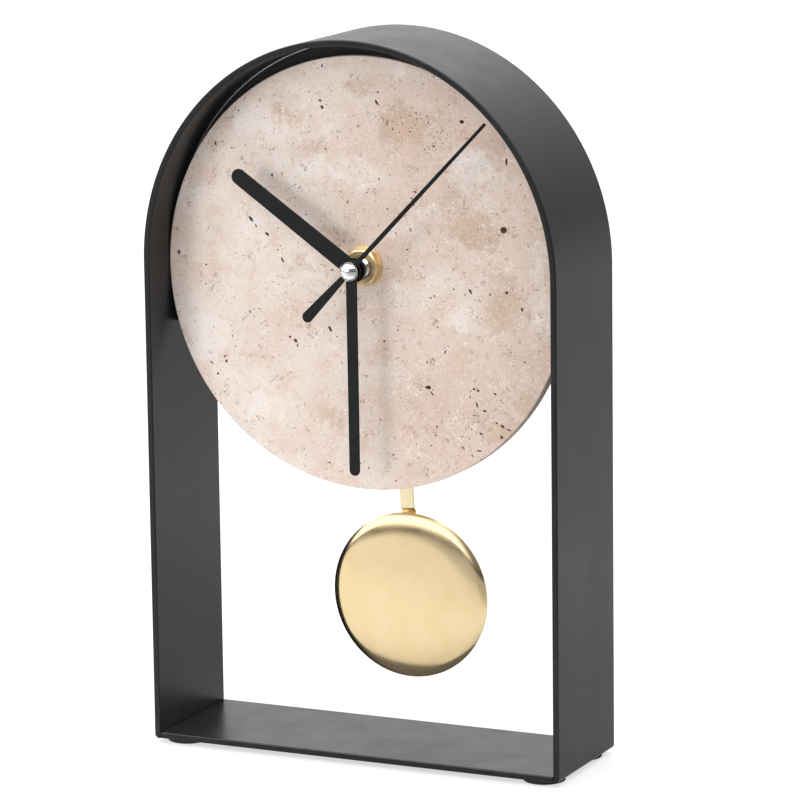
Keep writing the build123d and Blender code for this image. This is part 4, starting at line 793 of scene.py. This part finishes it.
# Hands: stamped from thin aluminium sheet and stove-enamelled satin black. The punch rolls the front edge over,
# so a thin line of light runs along it. Each hand is pressed on its pipe with a turned black boss behind.
# A hand is its angle, front, back, eye, bore and blades, and a blade its direction, length, root and tip.
HAND_ROLL = 0.16
ROLL_STEPS = 4
TIP_STEPS = 20
EYE_STEPS = 24
BORE_STEPS = 40
HOUR_HAND = (304.75, -21.5, -20.9, 5.0, 2.57, ((0, 64.1, 6.9, 6.35),))
MINUTE_HAND = (179.8, -23.6, -23.0, 4.0, 1.57, ((0, 82.6, 4.7, 4.5),))
SECOND_HAND = (44.0, -25.35, -24.95, 2.2, 0.57, ((0, 85.3, 2.0, 1.3), (180, 29.1, 2.4, 4.5)))
HOUR_BOSS = (5.0, 2.57, -20.9, -19.6)
MINUTE_BOSS = (4.0, 1.57, -23.0, -22.0)
BOSS_EDGE = 0.22

# Stove enamel: nearly black with a satin sheen along the blades, and a few pale specks of dust.
enamel = surface("stove_enamelled_aluminium", "#07090a", "#0d0f10", 9, (0.26, 0.36), 0.5, 0.004,
                 {"IOR": 1.5, "Specular IOR Level": 0.25})
specks(enamel, 6.0, 0.3, 0.15, "#6d6c6a")
# Black lacquer on turned brass: glossy, so each boss shows a bright rim.
black_lacquer = surface("black_lacquered_brass", "#08090a", "#0d0e0f", 3, (0.08, 0.14), 0.4, 0.002,
                        {"IOR": 1.55})


def hand_outline(eye, blades):
    """Round eye with one or two tapered, round-ended blades, as points turning one way."""
    points = []
    for k, (direction, length, root, tip) in enumerate(blades):
        turn = Matrix.Rotation(math.radians(-direction), 2)
        start_up = math.sqrt(eye ** 2 - (root / 2) ** 2)
        tip_up = length - tip / 2
        blade = [(root / 2, start_up)]
        for s in range(TIP_STEPS + 1):
            angle = math.pi * s / TIP_STEPS
            blade.append((tip / 2 * math.cos(angle), tip_up + tip / 2 * math.sin(angle)))
        blade.append((-root / 2, start_up))
        points += [turn @ Vector(spot) for spot in blade]
        following = blades[(k + 1) % len(blades)]
        leave = math.pi / 2 + math.asin(root / 2 / eye)
        arrive = math.pi / 2 + 2 * math.pi / len(blades) - math.asin(following[2] / 2 / eye)
        for s in range(1, EYE_STEPS):
            angle = leave + (arrive - leave) * s / EYE_STEPS
            points.append(turn @ Vector((eye * math.cos(angle), eye * math.sin(angle))))
    return points


def stamped_hand(angle, front, back, eye, bore, blades):
    """Sheet hand with a rolled front edge and its hole."""
    shell = bmesh.new()
    turn = Matrix.Rotation(math.radians(-angle), 2)
    outline = [turn @ spot for spot in hand_outline(eye, blades)]
    normals = []
    for k in range(len(outline)):
        along = (outline[(k + 1) % len(outline)] - outline[k - 1]).normalized()
        normals.append(Vector((along.y, -along.x)))

    def ring(points, depth):
        return [shell.verts.new(Vector((x, depth, HUB_UP + z)) * MM) for x, z in points]

    rows = [ring(outline, back)]
    for step in range(ROLL_STEPS + 1):
        rise = math.pi / 2 * step / ROLL_STEPS
        inset = HAND_ROLL * (1 - math.cos(rise))
        rows.append(ring([spot - normal * inset for spot, normal in zip(outline, normals)],
                         front + HAND_ROLL * (1 - math.sin(rise))))
    rows.append(ring([spot - normal * HAND_ROLL * 1.5 for spot, normal in zip(outline, normals)], front))
    hole = [ring(circle_points(bore, BORE_STEPS), depth) for depth in (back, front)]
    for first, second in zip(rows, rows[1:]):
        skirt(shell, first, second)
    skirt(shell, *hole)
    flat_face(shell, [rows[-1], hole[1]])
    flat_face(shell, [rows[0], hole[0]])
    return made(shell, "stamped_hand")


def boss_ring(radius, bore, front, back):
    """Turned ring with eased edges."""
    return turned(rounded([(bore, front), (radius, front), (radius, back), (bore, back)], BOSS_EDGE), hub)


place_piece("hour_blade", stamped_hand(*HOUR_HAND), enamel, "hour_group", "black_hand", "hour_hand")
place_piece("hour_boss_ring", boss_ring(*HOUR_BOSS), black_lacquer, "hour_group", "black_hand", "hour_boss")
place_piece("minute_blade", stamped_hand(*MINUTE_HAND), enamel, "minute_group", "black_hand", "minute_hand")
place_piece("minute_boss_ring", boss_ring(*MINUTE_BOSS), black_lacquer, "minute_group", "black_hand",
            "minute_boss")
place_piece("second_blade", stamped_hand(*SECOND_HAND), enamel, "second_group", "black_hand", "second_hand")
finish_nodes(enamel, "black_hand", "second_tube")

# Cap: small dome turned from brass and chromium-plated, pressed on the second hand's eye.
# Its mirror finish shows the whole room as bright and dark fields.
CAP_RADIUS = 3.85
CAP_RIM_FRONT = -26.15
CAP_BACK = -25.35
CAP_FRONT = -28.45
CAP_EDGE = 0.15
DOME_STEPS = 24

# Chromium: a cold, almost perfect mirror.
chrome = surface("chromium_plate", "#d9dbdd", "#eceeef", 2.5, (0.05, 0.09), 0.4, 0.0015, {"Metallic": 1.0})
dome_rise = CAP_RIM_FRONT - CAP_FRONT
dome_radius = (CAP_RADIUS ** 2 + dome_rise ** 2) / (2 * dome_rise)
dome_sweep = math.asin(CAP_RADIUS / dome_radius)
dome_turns = [dome_sweep * k / DOME_STEPS for k in range(DOME_STEPS + 1)]
dome_profile = [(dome_radius * math.sin(turn), CAP_FRONT + dome_radius * (1 - math.cos(turn)))
                for turn in dome_turns]
dome_profile += rounded([(CAP_RADIUS, CAP_RIM_FRONT), (CAP_RADIUS, CAP_BACK), (0, CAP_BACK)], CAP_EDGE,
                        closed=False)[1:]
place_piece("chrome_cap", turned(dome_profile, hub), chrome, "second_group", "chrome", "dome_cap", sharp=60)

# Train: wheels and pinions moulded in white acetal, turning on ground steel arbors between two grey plates.
# Acetal is smooth and a little waxy: soft highlights, with faint patches where the plastic flowed.
acetal = surface("moulded_white_acetal", "#d9d7cf", "#e7e5de", 3, (0.32, 0.42), 0.3, 0.006,
                 {"IOR": 1.48, "Subsurface Weight": 0.1, "Subsurface Scale": 0.001})
finish_nodes(acetal, "white_plastic", "hour_wheel", "motion_wheel", "second_wheel", "centre_wheel",
             "third_wheel", "intermediate_wheel", "rotor_pinion", "coil_bobbin", "drive_coil_bobbin")
# Grey styrene: even mid grey, nearly matt.
styrene = surface("moulded_grey_styrene", "#8f908d", "#9d9e9a", 6, (0.45, 0.58), 0.4, 0.01, {"IOR": 1.55})
finish_nodes(styrene, "grey_plastic", "middle_plate", "train_bridge")
# Ground steel: grey, with fine rings of grinding that draw each highlight out along the arbor.
ground_steel = surface("ground_steel", "#9a9b9b", "#b8b9b9", 1.5, (0.18, 0.3), 0.2, 0.002, {"Metallic": 1.0},
                       (1, 0.05, 1))
finish_nodes(ground_steel, "steel_arbor", "minute_arbor", "motion_arbor", "second_arbor")

# Step motor: laminated stator and core of silicon iron, a copper coil on its bobbin, and a ferrite rotor.
# The drive coil under it is wound the same way. A fibre board carries the quartz and the resin-capped chip.
# The iron is dull grey with the lines of the rolling mill across it.
silicon_iron = surface("rolled_silicon_iron", "#85878a", "#9fa1a3", 2, (0.35, 0.5), 0.25, 0.004,
                       {"Metallic": 1.0}, (0.1, 1, 1))
finish_nodes(silicon_iron, "stator_iron", "stator", "coil_core")
# Enamelled wire: red-brown, glossy, in fine parallel windings.
copper = surface("enamelled_copper_wire", "#9c4f25", "#c4713c", 1.2, (0.22, 0.35), 0.12, 0.03,
                 {"Metallic": 1.0}, (0.08, 1, 1))
finish_nodes(copper, "copper_wire", "coil_winding", "drive_coil")
# Ferrite: charcoal grey and dull, with a sintered grain.
ferrite = surface("sintered_ferrite", "#37383a", "#47484a", 1.2, (0.4, 0.55), 0.2, 0.012, {"IOR": 2.0})
finish_nodes(ferrite, "magnet", "rotor_magnet", "drive_magnet")
# Fibre board: mottled tan, matt like pressed card.
fibre_board = surface("pressed_fibre_board", "#9a7440", "#b08a54", 2.5, (0.45, 0.6), 0.3, 0.01, {"IOR": 1.55})
finish_nodes(fibre_board, "circuit_board", "circuit_board")
finish_nodes(nickel, "nickel", "quartz_can")

# Movement case: two shells injection-moulded in black styrene and snapped together.
# The cover's back carries the battery signs and a raised ring round the setting knob, moulded on.
CASE_BREAK = 0.35
KNOB_BREAK = 0.15
COVER_BACK = 13.6
ADDED_SUNK = 0.1
SIGN_RISE = 0.25
SIGN_EDGE = 0.08
KNOB_CENTRE = (-8.81, 0, 207.692)
KNOB_RING = (5.3, 6.0)
RING_EDGE = 0.1
# Battery signs under the bay, from the middle of each bar: right, up, half its length, half its height
SIGN_BARS = ((20.0, 171.6, 1.3, 0.28), (20.0, 171.6, 0.28, 1.3), (-20.0, 171.6, 1.3, 0.28))
# Spark-eroded styrene: matt black-grey with a fine, even pebble.
case_plastic = surface("spark_eroded_black_styrene", "#17181a", "#202124", 12, (0.5, 0.62), 0.35, 0.03,
                       {"IOR": 1.55})
# Polished styrene: a deeper black with soft highlights, on the knob, the hanger and the resin cap.
smooth_plastic = surface("polished_black_styrene", "#121214", "#1a1a1c", 8, (0.3, 0.42), 0.6, 0.006,
                         {"IOR": 1.55})
place_piece("front_shell", eased("movement_front_shell", CASE_BREAK), case_plastic, "frame", "black_plastic",
            "movement_front_shell")
added_low, added_high = COVER_BACK - ADDED_SUNK, COVER_BACK + SIGN_RISE
ring_profile = rounded([(KNOB_RING[0], added_low), (KNOB_RING[1], added_low), (KNOB_RING[1], added_high),
                        (KNOB_RING[0], added_high)], RING_EDGE)
cover_shell = bmesh.new()
cover_shell.from_mesh(eased("movement_rear_cover", CASE_BREAK, behind=added_low))
cover_shell.from_mesh(turned(ring_profile, KNOB_CENTRE))
for right, up, half_long, half_high in SIGN_BARS:
    cover_shell.from_mesh(block((right - half_long, added_low, up - half_high),
                                (right + half_long, added_high, up + half_high), SIGN_EDGE, 2))
place_piece("rear_cover", made(cover_shell, "rear_cover", turn_out=False), case_plastic, "frame",
            "black_plastic", "movement_rear_cover")
place_piece("pendulum_carrier", eased("pendulum_hanger", CASE_BREAK), smooth_plastic, "pendulum",
            "black_plastic", "pendulum_hanger")
place_piece("fluted_knob", eased("setting_knob", KNOB_BREAK), smooth_plastic, "motion_group", "black_plastic",
            "setting_knob")
finish_nodes(smooth_plastic, "black_plastic", "chip_resin")

# Battery and its contacts: one AA cell lies in the open bay between two leaf springs of nickelled strip.
# The can is nickel-plated steel in a shrunk film, dark with a bronze band, and carries no print.
CELL_RADIUS = 7.1
CELL_LENGTH = 50.5
CELL_BUTTON = (2.75, 1.3)
CELL_CENTRE = (0, 5.25, 181.747)
CELL_ROUND = 0.55
FOOT_RISE = 0.25
SHOULDER_DROP = 0.35
FILM_EDGE = 5.6
FILM_CURL = 1.5
FILM_BAND = 11.0
FILM_LINE = 0.25

# Nickelled strip: light grey spring sheet with a soft shine.
strip = surface("nickelled_spring_strip", "#b4b3ae", "#cfcec8", 2, (0.2, 0.35), 0.25, 0.003, {"Metallic": 1.0})
finish_nodes(strip, "contact_strip", "battery_contacts")
# Shrunk film: glossy blue-black skin with a bronze band at the button's end and a pale line beside it.
film = surface("shrunk_film", "#1b2027", "#232932", 14, (0.2, 0.3), 1.2, 0.012,
               {"IOR": 1.5, "Coat Weight": 0.3})
film_tree = film.node_tree
band_start = (CELL_LENGTH / 2 - CELL_BUTTON[1] - FILM_BAND) * MM
along_cell = add_node(film_tree, "ShaderNodeSeparateXYZ", {0: film_tree.nodes["place"].outputs["Object"]}, 0)
on_band = add_node(film_tree, "ShaderNodeMath", {0: along_cell, 1: band_start}, 0, operation="GREATER_THAN")
tint(film, on_band, "#a8713f")
past_start = add_node(film_tree, "ShaderNodeMath", {0: along_cell, 1: band_start}, 0, operation="SUBTRACT")
from_start = add_node(film_tree, "ShaderNodeMath", {0: past_start}, 0, operation="ABSOLUTE")
on_line = add_node(film_tree, "ShaderNodeMath", {0: from_start, 1: FILM_LINE * MM}, 0, operation="LESS_THAN")
tint(film, on_line, "#cfc9bd")


def cell_mesh():
    """Can with curled film ends, a flat foot and the raised button."""
    foot, shoulder = -CELL_LENGTH / 2, CELL_LENGTH / 2 - CELL_BUTTON[1]
    rim = CELL_RADIUS - FILM_CURL
    profile = rounded([(0, foot + FOOT_RISE), (FILM_EDGE - 0.9, foot + FOOT_RISE), (FILM_EDGE - 0.5, foot),
                       (CELL_RADIUS, foot), (CELL_RADIUS, shoulder), (rim, shoulder),
                       (rim - 0.3, shoulder - SHOULDER_DROP), (CELL_BUTTON[0], shoulder - SHOULDER_DROP),
                       (CELL_BUTTON[0], shoulder + CELL_BUTTON[1]), (0, shoulder + CELL_BUTTON[1])],
                      CELL_ROUND, keep=(0, 9))
    mesh = turned(profile, CELL_CENTRE, "X", 80)
    mesh.materials.append(film)
    mesh.materials.append(nickel)
    for face in mesh.polygons:
        spot = face.center / MM
        reach = math.hypot(spot.y - CELL_CENTRE[1], spot.z - CELL_CENTRE[2])
        face.material_index = 1 if reach < rim else 0
    return mesh


place_piece("dry_cell", cell_mesh(), None, "battery", "battery_wrap", "aa_battery")

# Pendulum: a flat brass rod hooked over a peg of the black hanger, stepped back to pass behind the bob.
# The bob is two spun brass shells soldered at the rim and lacquered. A brass strap holds it on the rod.
PIVOT_UP = 167.9975
SWING = math.radians(3.04)
PEG_UP = 160.9975
ROD_WIDTH = 6.0
ROD_SHEET = 1.0
ROD_UPPER_FRONT = 17.9
ROD_LOWER_FRONT = 19.1
ROD_STEP = (95.15, 96.45)
ROD_END = 54.6
ROD_EDGE = 0.18
ROD_TIP_HALF = 0.4
ROD_ROUND_STEPS = 12
BOB_UP = 60.6
BOB_DEPTH = 16.0
BOB_RADIUS = 34.2
BOB_HALF = 3.1
BOB_CROWN = 0.7
BOB_ROLL = 11.0
BOB_LIP = (31.0, -1.42)
BOB_RIM = 0.3
BOB_SHEET = 0.5
STRAP_BREAK = 0.12

# Satin lacquer on spun brass: pale gold and smooth, so the room shows in it as soft-edged fields.
satin_brass = surface("satin_lacquered_brass", "#dfc89b", "#e5cfa6", 14, (0.13, 0.17), 0.35, 0.0008,
                      {"Metallic": 1.0})
# Rolled strip: lighter brass, with faint lines of the rolling along the rod.
rolled_brass = surface("rolled_brass_strip", "#e9d9af", "#f0e2be", 6, (0.16, 0.24), 0.3, 0.002,
                       {"Metallic": 1.0}, (1, 1, 0.1))


def swung(mesh):
    """Turn a pendulum mesh about the pivot to the swing at rest."""
    pivot = Vector((0, 0, PIVOT_UP)) * MM
    mesh.transform(Matrix.Translation(pivot) @ Matrix.Rotation(-SWING, 4, "Y") @ Matrix.Translation(-pivot))
    return mesh


def arc_between(start, end, slope, steps):
    """Arc from start to end that leaves start at this slope in radians, and the slope that it ends at."""
    chord = Vector(end) - Vector(start)
    lean = math.atan2(chord.y, chord.x)
    half = lean - slope
    radius = chord.length / 2 / math.sin(half)
    centre = Vector(start) + radius * Vector((-math.sin(slope), math.cos(slope)))
    points = []
    for k in range(1, steps + 1):
        angle = slope + 2 * half * k / steps
        points.append(tuple(centre + radius * Vector((math.sin(angle), -math.cos(angle)))))
    return points, slope + 2 * half


def bob_shell_mesh(side):
    """One spun shell: crowned middle, rolled edge and the upright rim, with the inner skin behind it."""
    knee = (BOB_RADIUS - BOB_ROLL, BOB_CROWN - BOB_HALF)
    crown, slope = arc_between((0, -BOB_HALF), knee, 0.0, 14)
    roll, slope = arc_between(knee, BOB_LIP, slope, 14)
    lip, _ = arc_between(BOB_LIP, (BOB_RADIUS, -BOB_RIM), slope, 10)
    skin = [(0, -BOB_HALF)] + crown + roll + lip + [(BOB_RADIUS, 0)]
    lining = [(radius * (1 - BOB_SHEET / BOB_RADIUS), min(0.0, along + BOB_SHEET))
              for radius, along in skin[:-1]]
    profile = [(radius, BOB_DEPTH + side * along) for radius, along in skin + lining[::-1]]
    return swung(turned(profile, (0, 0, BOB_UP), "Y", 160))


def rod_mesh():
    """Strip bent to its step, with a round upper end."""
    side = [(ROD_UPPER_FRONT, ROD_STEP[1]), (ROD_LOWER_FRONT, ROD_STEP[0]), (ROD_LOWER_FRONT, ROD_END)]
    half = ROD_WIDTH / 2
    stations = []
    for k in range(ROD_ROUND_STEPS + 1):
        turn = math.pi / 2 * (1 - k / ROD_ROUND_STEPS)
        width = max(half * math.cos(turn), ROD_TIP_HALF)
        stations.append((ROD_UPPER_FRONT, PEG_UP + half * math.sin(turn), width))
    for (front_a, up_a), (front_b, up_b) in zip(side, side[1:]):
        steps = 6 if front_a != front_b else 2
        for k in range(steps if up_b != ROD_END else steps + 1):
            share = k / steps
            smooth = share * share * (3 - 2 * share)
            stations.append((front_a + (front_b - front_a) * smooth, up_a + (up_b - up_a) * share, half))
    shell = bmesh.new()
    rows = []
    for front, up, width in stations:
        section = rounded([(-width, 0), (width, 0), (width, ROD_SHEET), (-width, ROD_SHEET)], ROD_EDGE, 3)
        rows.append([shell.verts.new(Vector((across, front + deep, up)) * MM) for across, deep in section])
    for first, second in zip(rows, rows[1:]):
        skirt(shell, first, second)
    shell.faces.new(rows[0])
    shell.faces.new(rows[-1])
    return swung(made(shell, "rod"))


place_piece("bob_front", bob_shell_mesh(1), satin_brass, "pendulum", "satin_brass", "bob_front_shell", sharp=50)
place_piece("bob_back", bob_shell_mesh(-1), satin_brass, "pendulum", "satin_brass", "bob_back_shell", sharp=50)
place_piece("brass_rod", rod_mesh(), rolled_brass, "pendulum", "satin_brass", "pendulum_rod")
place_piece("bob_strap", eased("bob_clip", STRAP_BREAK), satin_brass, "pendulum", "satin_brass", "bob_clip")
finish_nodes(ground_steel, "steel_arbor", "pivot_pin")
finish_nodes(strip, "contact_strip", "pivot_clip")

# Studio: the clock stands on a wide opal sheet lit from inside, with a small key light at the front left and a
# broad one overhead. Dark fields in the room behind the camera only act on what is mirrored. The sheet carries
# painted shade, falling off to the front and right, and a painted shadow of the clock behind it, unseen by the
# camera.
FLOOR_REACH = 9.0
FLOOR_GLOW = 1.2
FLOOR_SHADE_COLOUR = "#7a7a7a"
# Painted shade on the floor: how far along a direction or from a spot, start and end of the fade in m, how dark
FLOOR_SHADE_FIELDS = (
    ("DOT_PRODUCT", (0.43, -0.90, 0.0), 0.10, 0.26, 0.25),
    ("DOT_PRODUCT", (0.819, -0.574, 0.0), 0.16, 0.32, 0.8),
    ("DOT_PRODUCT", (0.942, 0.349, 0.0), 0.20, 0.44, 0.6),
    ("DISTANCE", (0.06, 0.13, 0.0), 0.25, 0.10, 0.6),
)
LIGHT_AIM = Vector((0, 0, 0.17))
KEY_TURN = math.radians(-35)
KEY_RISE = math.radians(3)
KEY_DISTANCE = 1.7
KEY_SIZE = 0.5
KEY_POWER = 6.0
TOP_SPOT = (0.1, 0.2, 1.9)
TOP_POWER = 8.0
TOP_SIZE = 1.6
AMBIENT = 1.02
BACKDROP = 1.3

# Opal sheet: an even white without gloss, which glows on its own so that no shadow line of the studio shows.
opal = surface("lit_opal_sheet", "#bcbcbc", "#bebebe", 60, (0.8, 0.9), 1.0, 0.01,
               {"Specular IOR Level": 0.0, "Emission Strength": FLOOR_GLOW})
opal_tree = opal.node_tree
camera_ray = add_node(opal_tree, "ShaderNodeLightPath", None, "Is Camera Ray")
mirrored = add_node(opal_tree, "ShaderNodeMath", {0: 1.0, 1: camera_ray}, 0, operation="SUBTRACT")
# Painted shade and shadow, seen only in reflections and bounced light: the sheet dims to the front and right,
# and darkens just behind the clock where its shadow would fall.
for kind, point, near, far, most in FLOOR_SHADE_FIELDS:
    reach = add_node(opal_tree, "ShaderNodeVectorMath",
                     {0: opal_tree.nodes["place"].outputs["Object"], 1: point}, "Value", operation=kind)
    dimmer = add_node(opal_tree, "ShaderNodeMapRange",
                      {"Value": reach, "From Min": near, "From Max": far, "To Max": most}, 0,
                      interpolation_type="SMOOTHSTEP")
    dark = add_node(opal_tree, "ShaderNodeMath", {0: dimmer, 1: mirrored}, 0, operation="MULTIPLY")
    tint(opal, dark, FLOOR_SHADE_COLOUR)
opal_shader = opal_tree.nodes["shader"]
opal_colour = opal_shader.inputs["Base Color"].links[0].from_socket
opal_tree.links.new(opal_colour, opal_shader.inputs["Emission Color"])
floor_mesh = bpy.data.meshes.new("floor")
floor_mesh.from_pydata([(-FLOOR_REACH, -FLOOR_REACH, 0), (FLOOR_REACH, -FLOOR_REACH, 0),
                        (FLOOR_REACH, FLOOR_REACH, 0), (-FLOOR_REACH, FLOOR_REACH, 0)], [], [(0, 1, 2, 3)])
floor_mesh.materials.append(opal)
floor = bpy.data.objects.new("floor", floor_mesh)
bpy.context.scene.collection.objects.link(floor)


def outward_way(turn, rise):
    """Direction from the clock that is turned this far to the right of its front and raised this far."""
    return Vector((math.sin(turn) * math.cos(rise), -math.cos(turn) * math.cos(rise), math.sin(rise)))


def softbox(name, spot, aim, size, power):
    """Square area light at a spot, turned to its aim."""
    lamp = bpy.data.lights.new(name, "AREA")
    lamp.shape, lamp.size, lamp.energy = "SQUARE", size, power
    light = bpy.data.objects.new(name, lamp)
    light.location = spot
    light.rotation_euler = (Vector(aim) - Vector(spot)).to_track_quat("-Z", "Y").to_euler()
    light.visible_glossy = False
    bpy.context.scene.collection.objects.link(light)


softbox("key", LIGHT_AIM + outward_way(KEY_TURN, KEY_RISE) * KEY_DISTANCE, LIGHT_AIM, KEY_SIZE, KEY_POWER)
softbox("top", TOP_SPOT, (0, 0, 0), TOP_SIZE, TOP_POWER)

world = bpy.data.worlds.new("room")
bpy.context.scene.world = world
world.use_nodes = True
room = world.node_tree
room.nodes.clear()
way = add_node(room, "ShaderNodeTexCoord", None, "Generated")
across, deep, high = add_node(room, "ShaderNodeSeparateXYZ", {0: way}).outputs
# Soft steps of the room's light: what they go by, from, to, light before and after
room_steps = {
    "brighter upwards": (high, 0.02, 0.5, 1.05, 2.2),
    "darker to the right": (across, -0.15, 0.35, 1.0, 0.55),
    "bright above eye level": (high, 0.06, 0.09, 0.07, 3.0),
    "dark to the right": (across, -0.08, 0.24, 1.0, 0.1),
    "fading upwards": (high, 0.30, 0.55, 1.0, 0.4),
    "lamp from below": (high, 0.52, 0.66, 0.0, 8.0),
    "lamp from above": (high, 0.98, 0.92, 0.0, 1.0),
    "ahead": (deep, 0.1, -0.25, 0.0, 1.0),
}
soft = {}
for step, (value, start, end, before, after) in room_steps.items():
    soft[step] = add_node(room, "ShaderNodeMapRange", {
        "Value": value, "From Min": start, "From Max": end, "To Min": before, "To Max": after,
    }, 0, interpolation_type="SMOOTHSTEP")
behind = add_node(room, "ShaderNodeMath", {0: soft["brighter upwards"], 1: soft["darker to the right"]}, 0,
                  operation="MULTIPLY")
left_light = add_node(room, "ShaderNodeMath", {0: soft["bright above eye level"], 1: soft["dark to the right"]},
                      0, operation="MULTIPLY")
low_light = add_node(room, "ShaderNodeMath", {0: left_light, 1: soft["fading upwards"]}, 0,
                     operation="MULTIPLY")
lamp_light = add_node(room, "ShaderNodeMath", {0: soft["lamp from below"], 1: soft["lamp from above"]}, 0,
                      operation="MULTIPLY")
front_light = add_node(room, "ShaderNodeMath", {0: low_light, 1: lamp_light}, 0, operation="ADD")
glossy_light = add_node(room, "ShaderNodeMix", {0: soft["ahead"], 2: behind, 3: front_light}, 0)
soft_light = add_node(room, "ShaderNodeMix", {0: soft["ahead"], 2: behind, 3: AMBIENT}, 0)
seen = add_node(room, "ShaderNodeLightPath").outputs
even_light = add_node(room, "ShaderNodeMix", {0: seen["Is Camera Ray"], 2: soft_light, 3: BACKDROP}, 0)
strength = add_node(room, "ShaderNodeMix", {0: seen["Is Glossy Ray"], 2: even_light, 3: glossy_light}, 0)
glow = add_node(room, "ShaderNodeBackground", {"Strength": strength}, 0)
add_node(room, "ShaderNodeOutputWorld", {0: glow})
bpy.context.scene.view_settings.view_transform = "Standard"

# Camera: long lens, a little to the right of the clock and above it, as the photograph was taken.
CAMERA_TURN = math.radians(25.431)
CAMERA_RISE = math.radians(11.204)
CAMERA_ROLL = math.radians(-0.802)
CAMERA_DISTANCE = 1.8178
CAMERA_AIM = Vector((0, 0, 0.1418))
IMAGE_SIDE = 800
FOCAL_PIXELS = 4527.9
MIDDLE_PIXEL = (378.44, 405.75)
SENSOR = 36.0
FARTHEST = 50

back = outward_way(CAMERA_TURN, CAMERA_RISE)
right = (-back).cross(Vector((0, 0, 1))).normalized()
up = right.cross(-back)
rolled_right = math.cos(CAMERA_ROLL) * right + math.sin(CAMERA_ROLL) * up
rolled_up = -math.sin(CAMERA_ROLL) * right + math.cos(CAMERA_ROLL) * up
lens = bpy.data.cameras.new("camera")
lens.sensor_width = SENSOR
lens.lens = FOCAL_PIXELS / IMAGE_SIDE * SENSOR
lens.shift_x = (IMAGE_SIDE / 2 - MIDDLE_PIXEL[0]) / IMAGE_SIDE
lens.shift_y = (MIDDLE_PIXEL[1] - IMAGE_SIDE / 2) / IMAGE_SIDE
lens.clip_end = FARTHEST
camera = bpy.data.objects.new("camera", lens)
camera.matrix_world = Matrix.Translation(CAMERA_AIM + back * CAMERA_DISTANCE) @ Matrix(
    (rolled_right, rolled_up, back)).transposed().to_4x4()
bpy.context.scene.collection.objects.link(camera)
bpy.context.scene.camera = camera
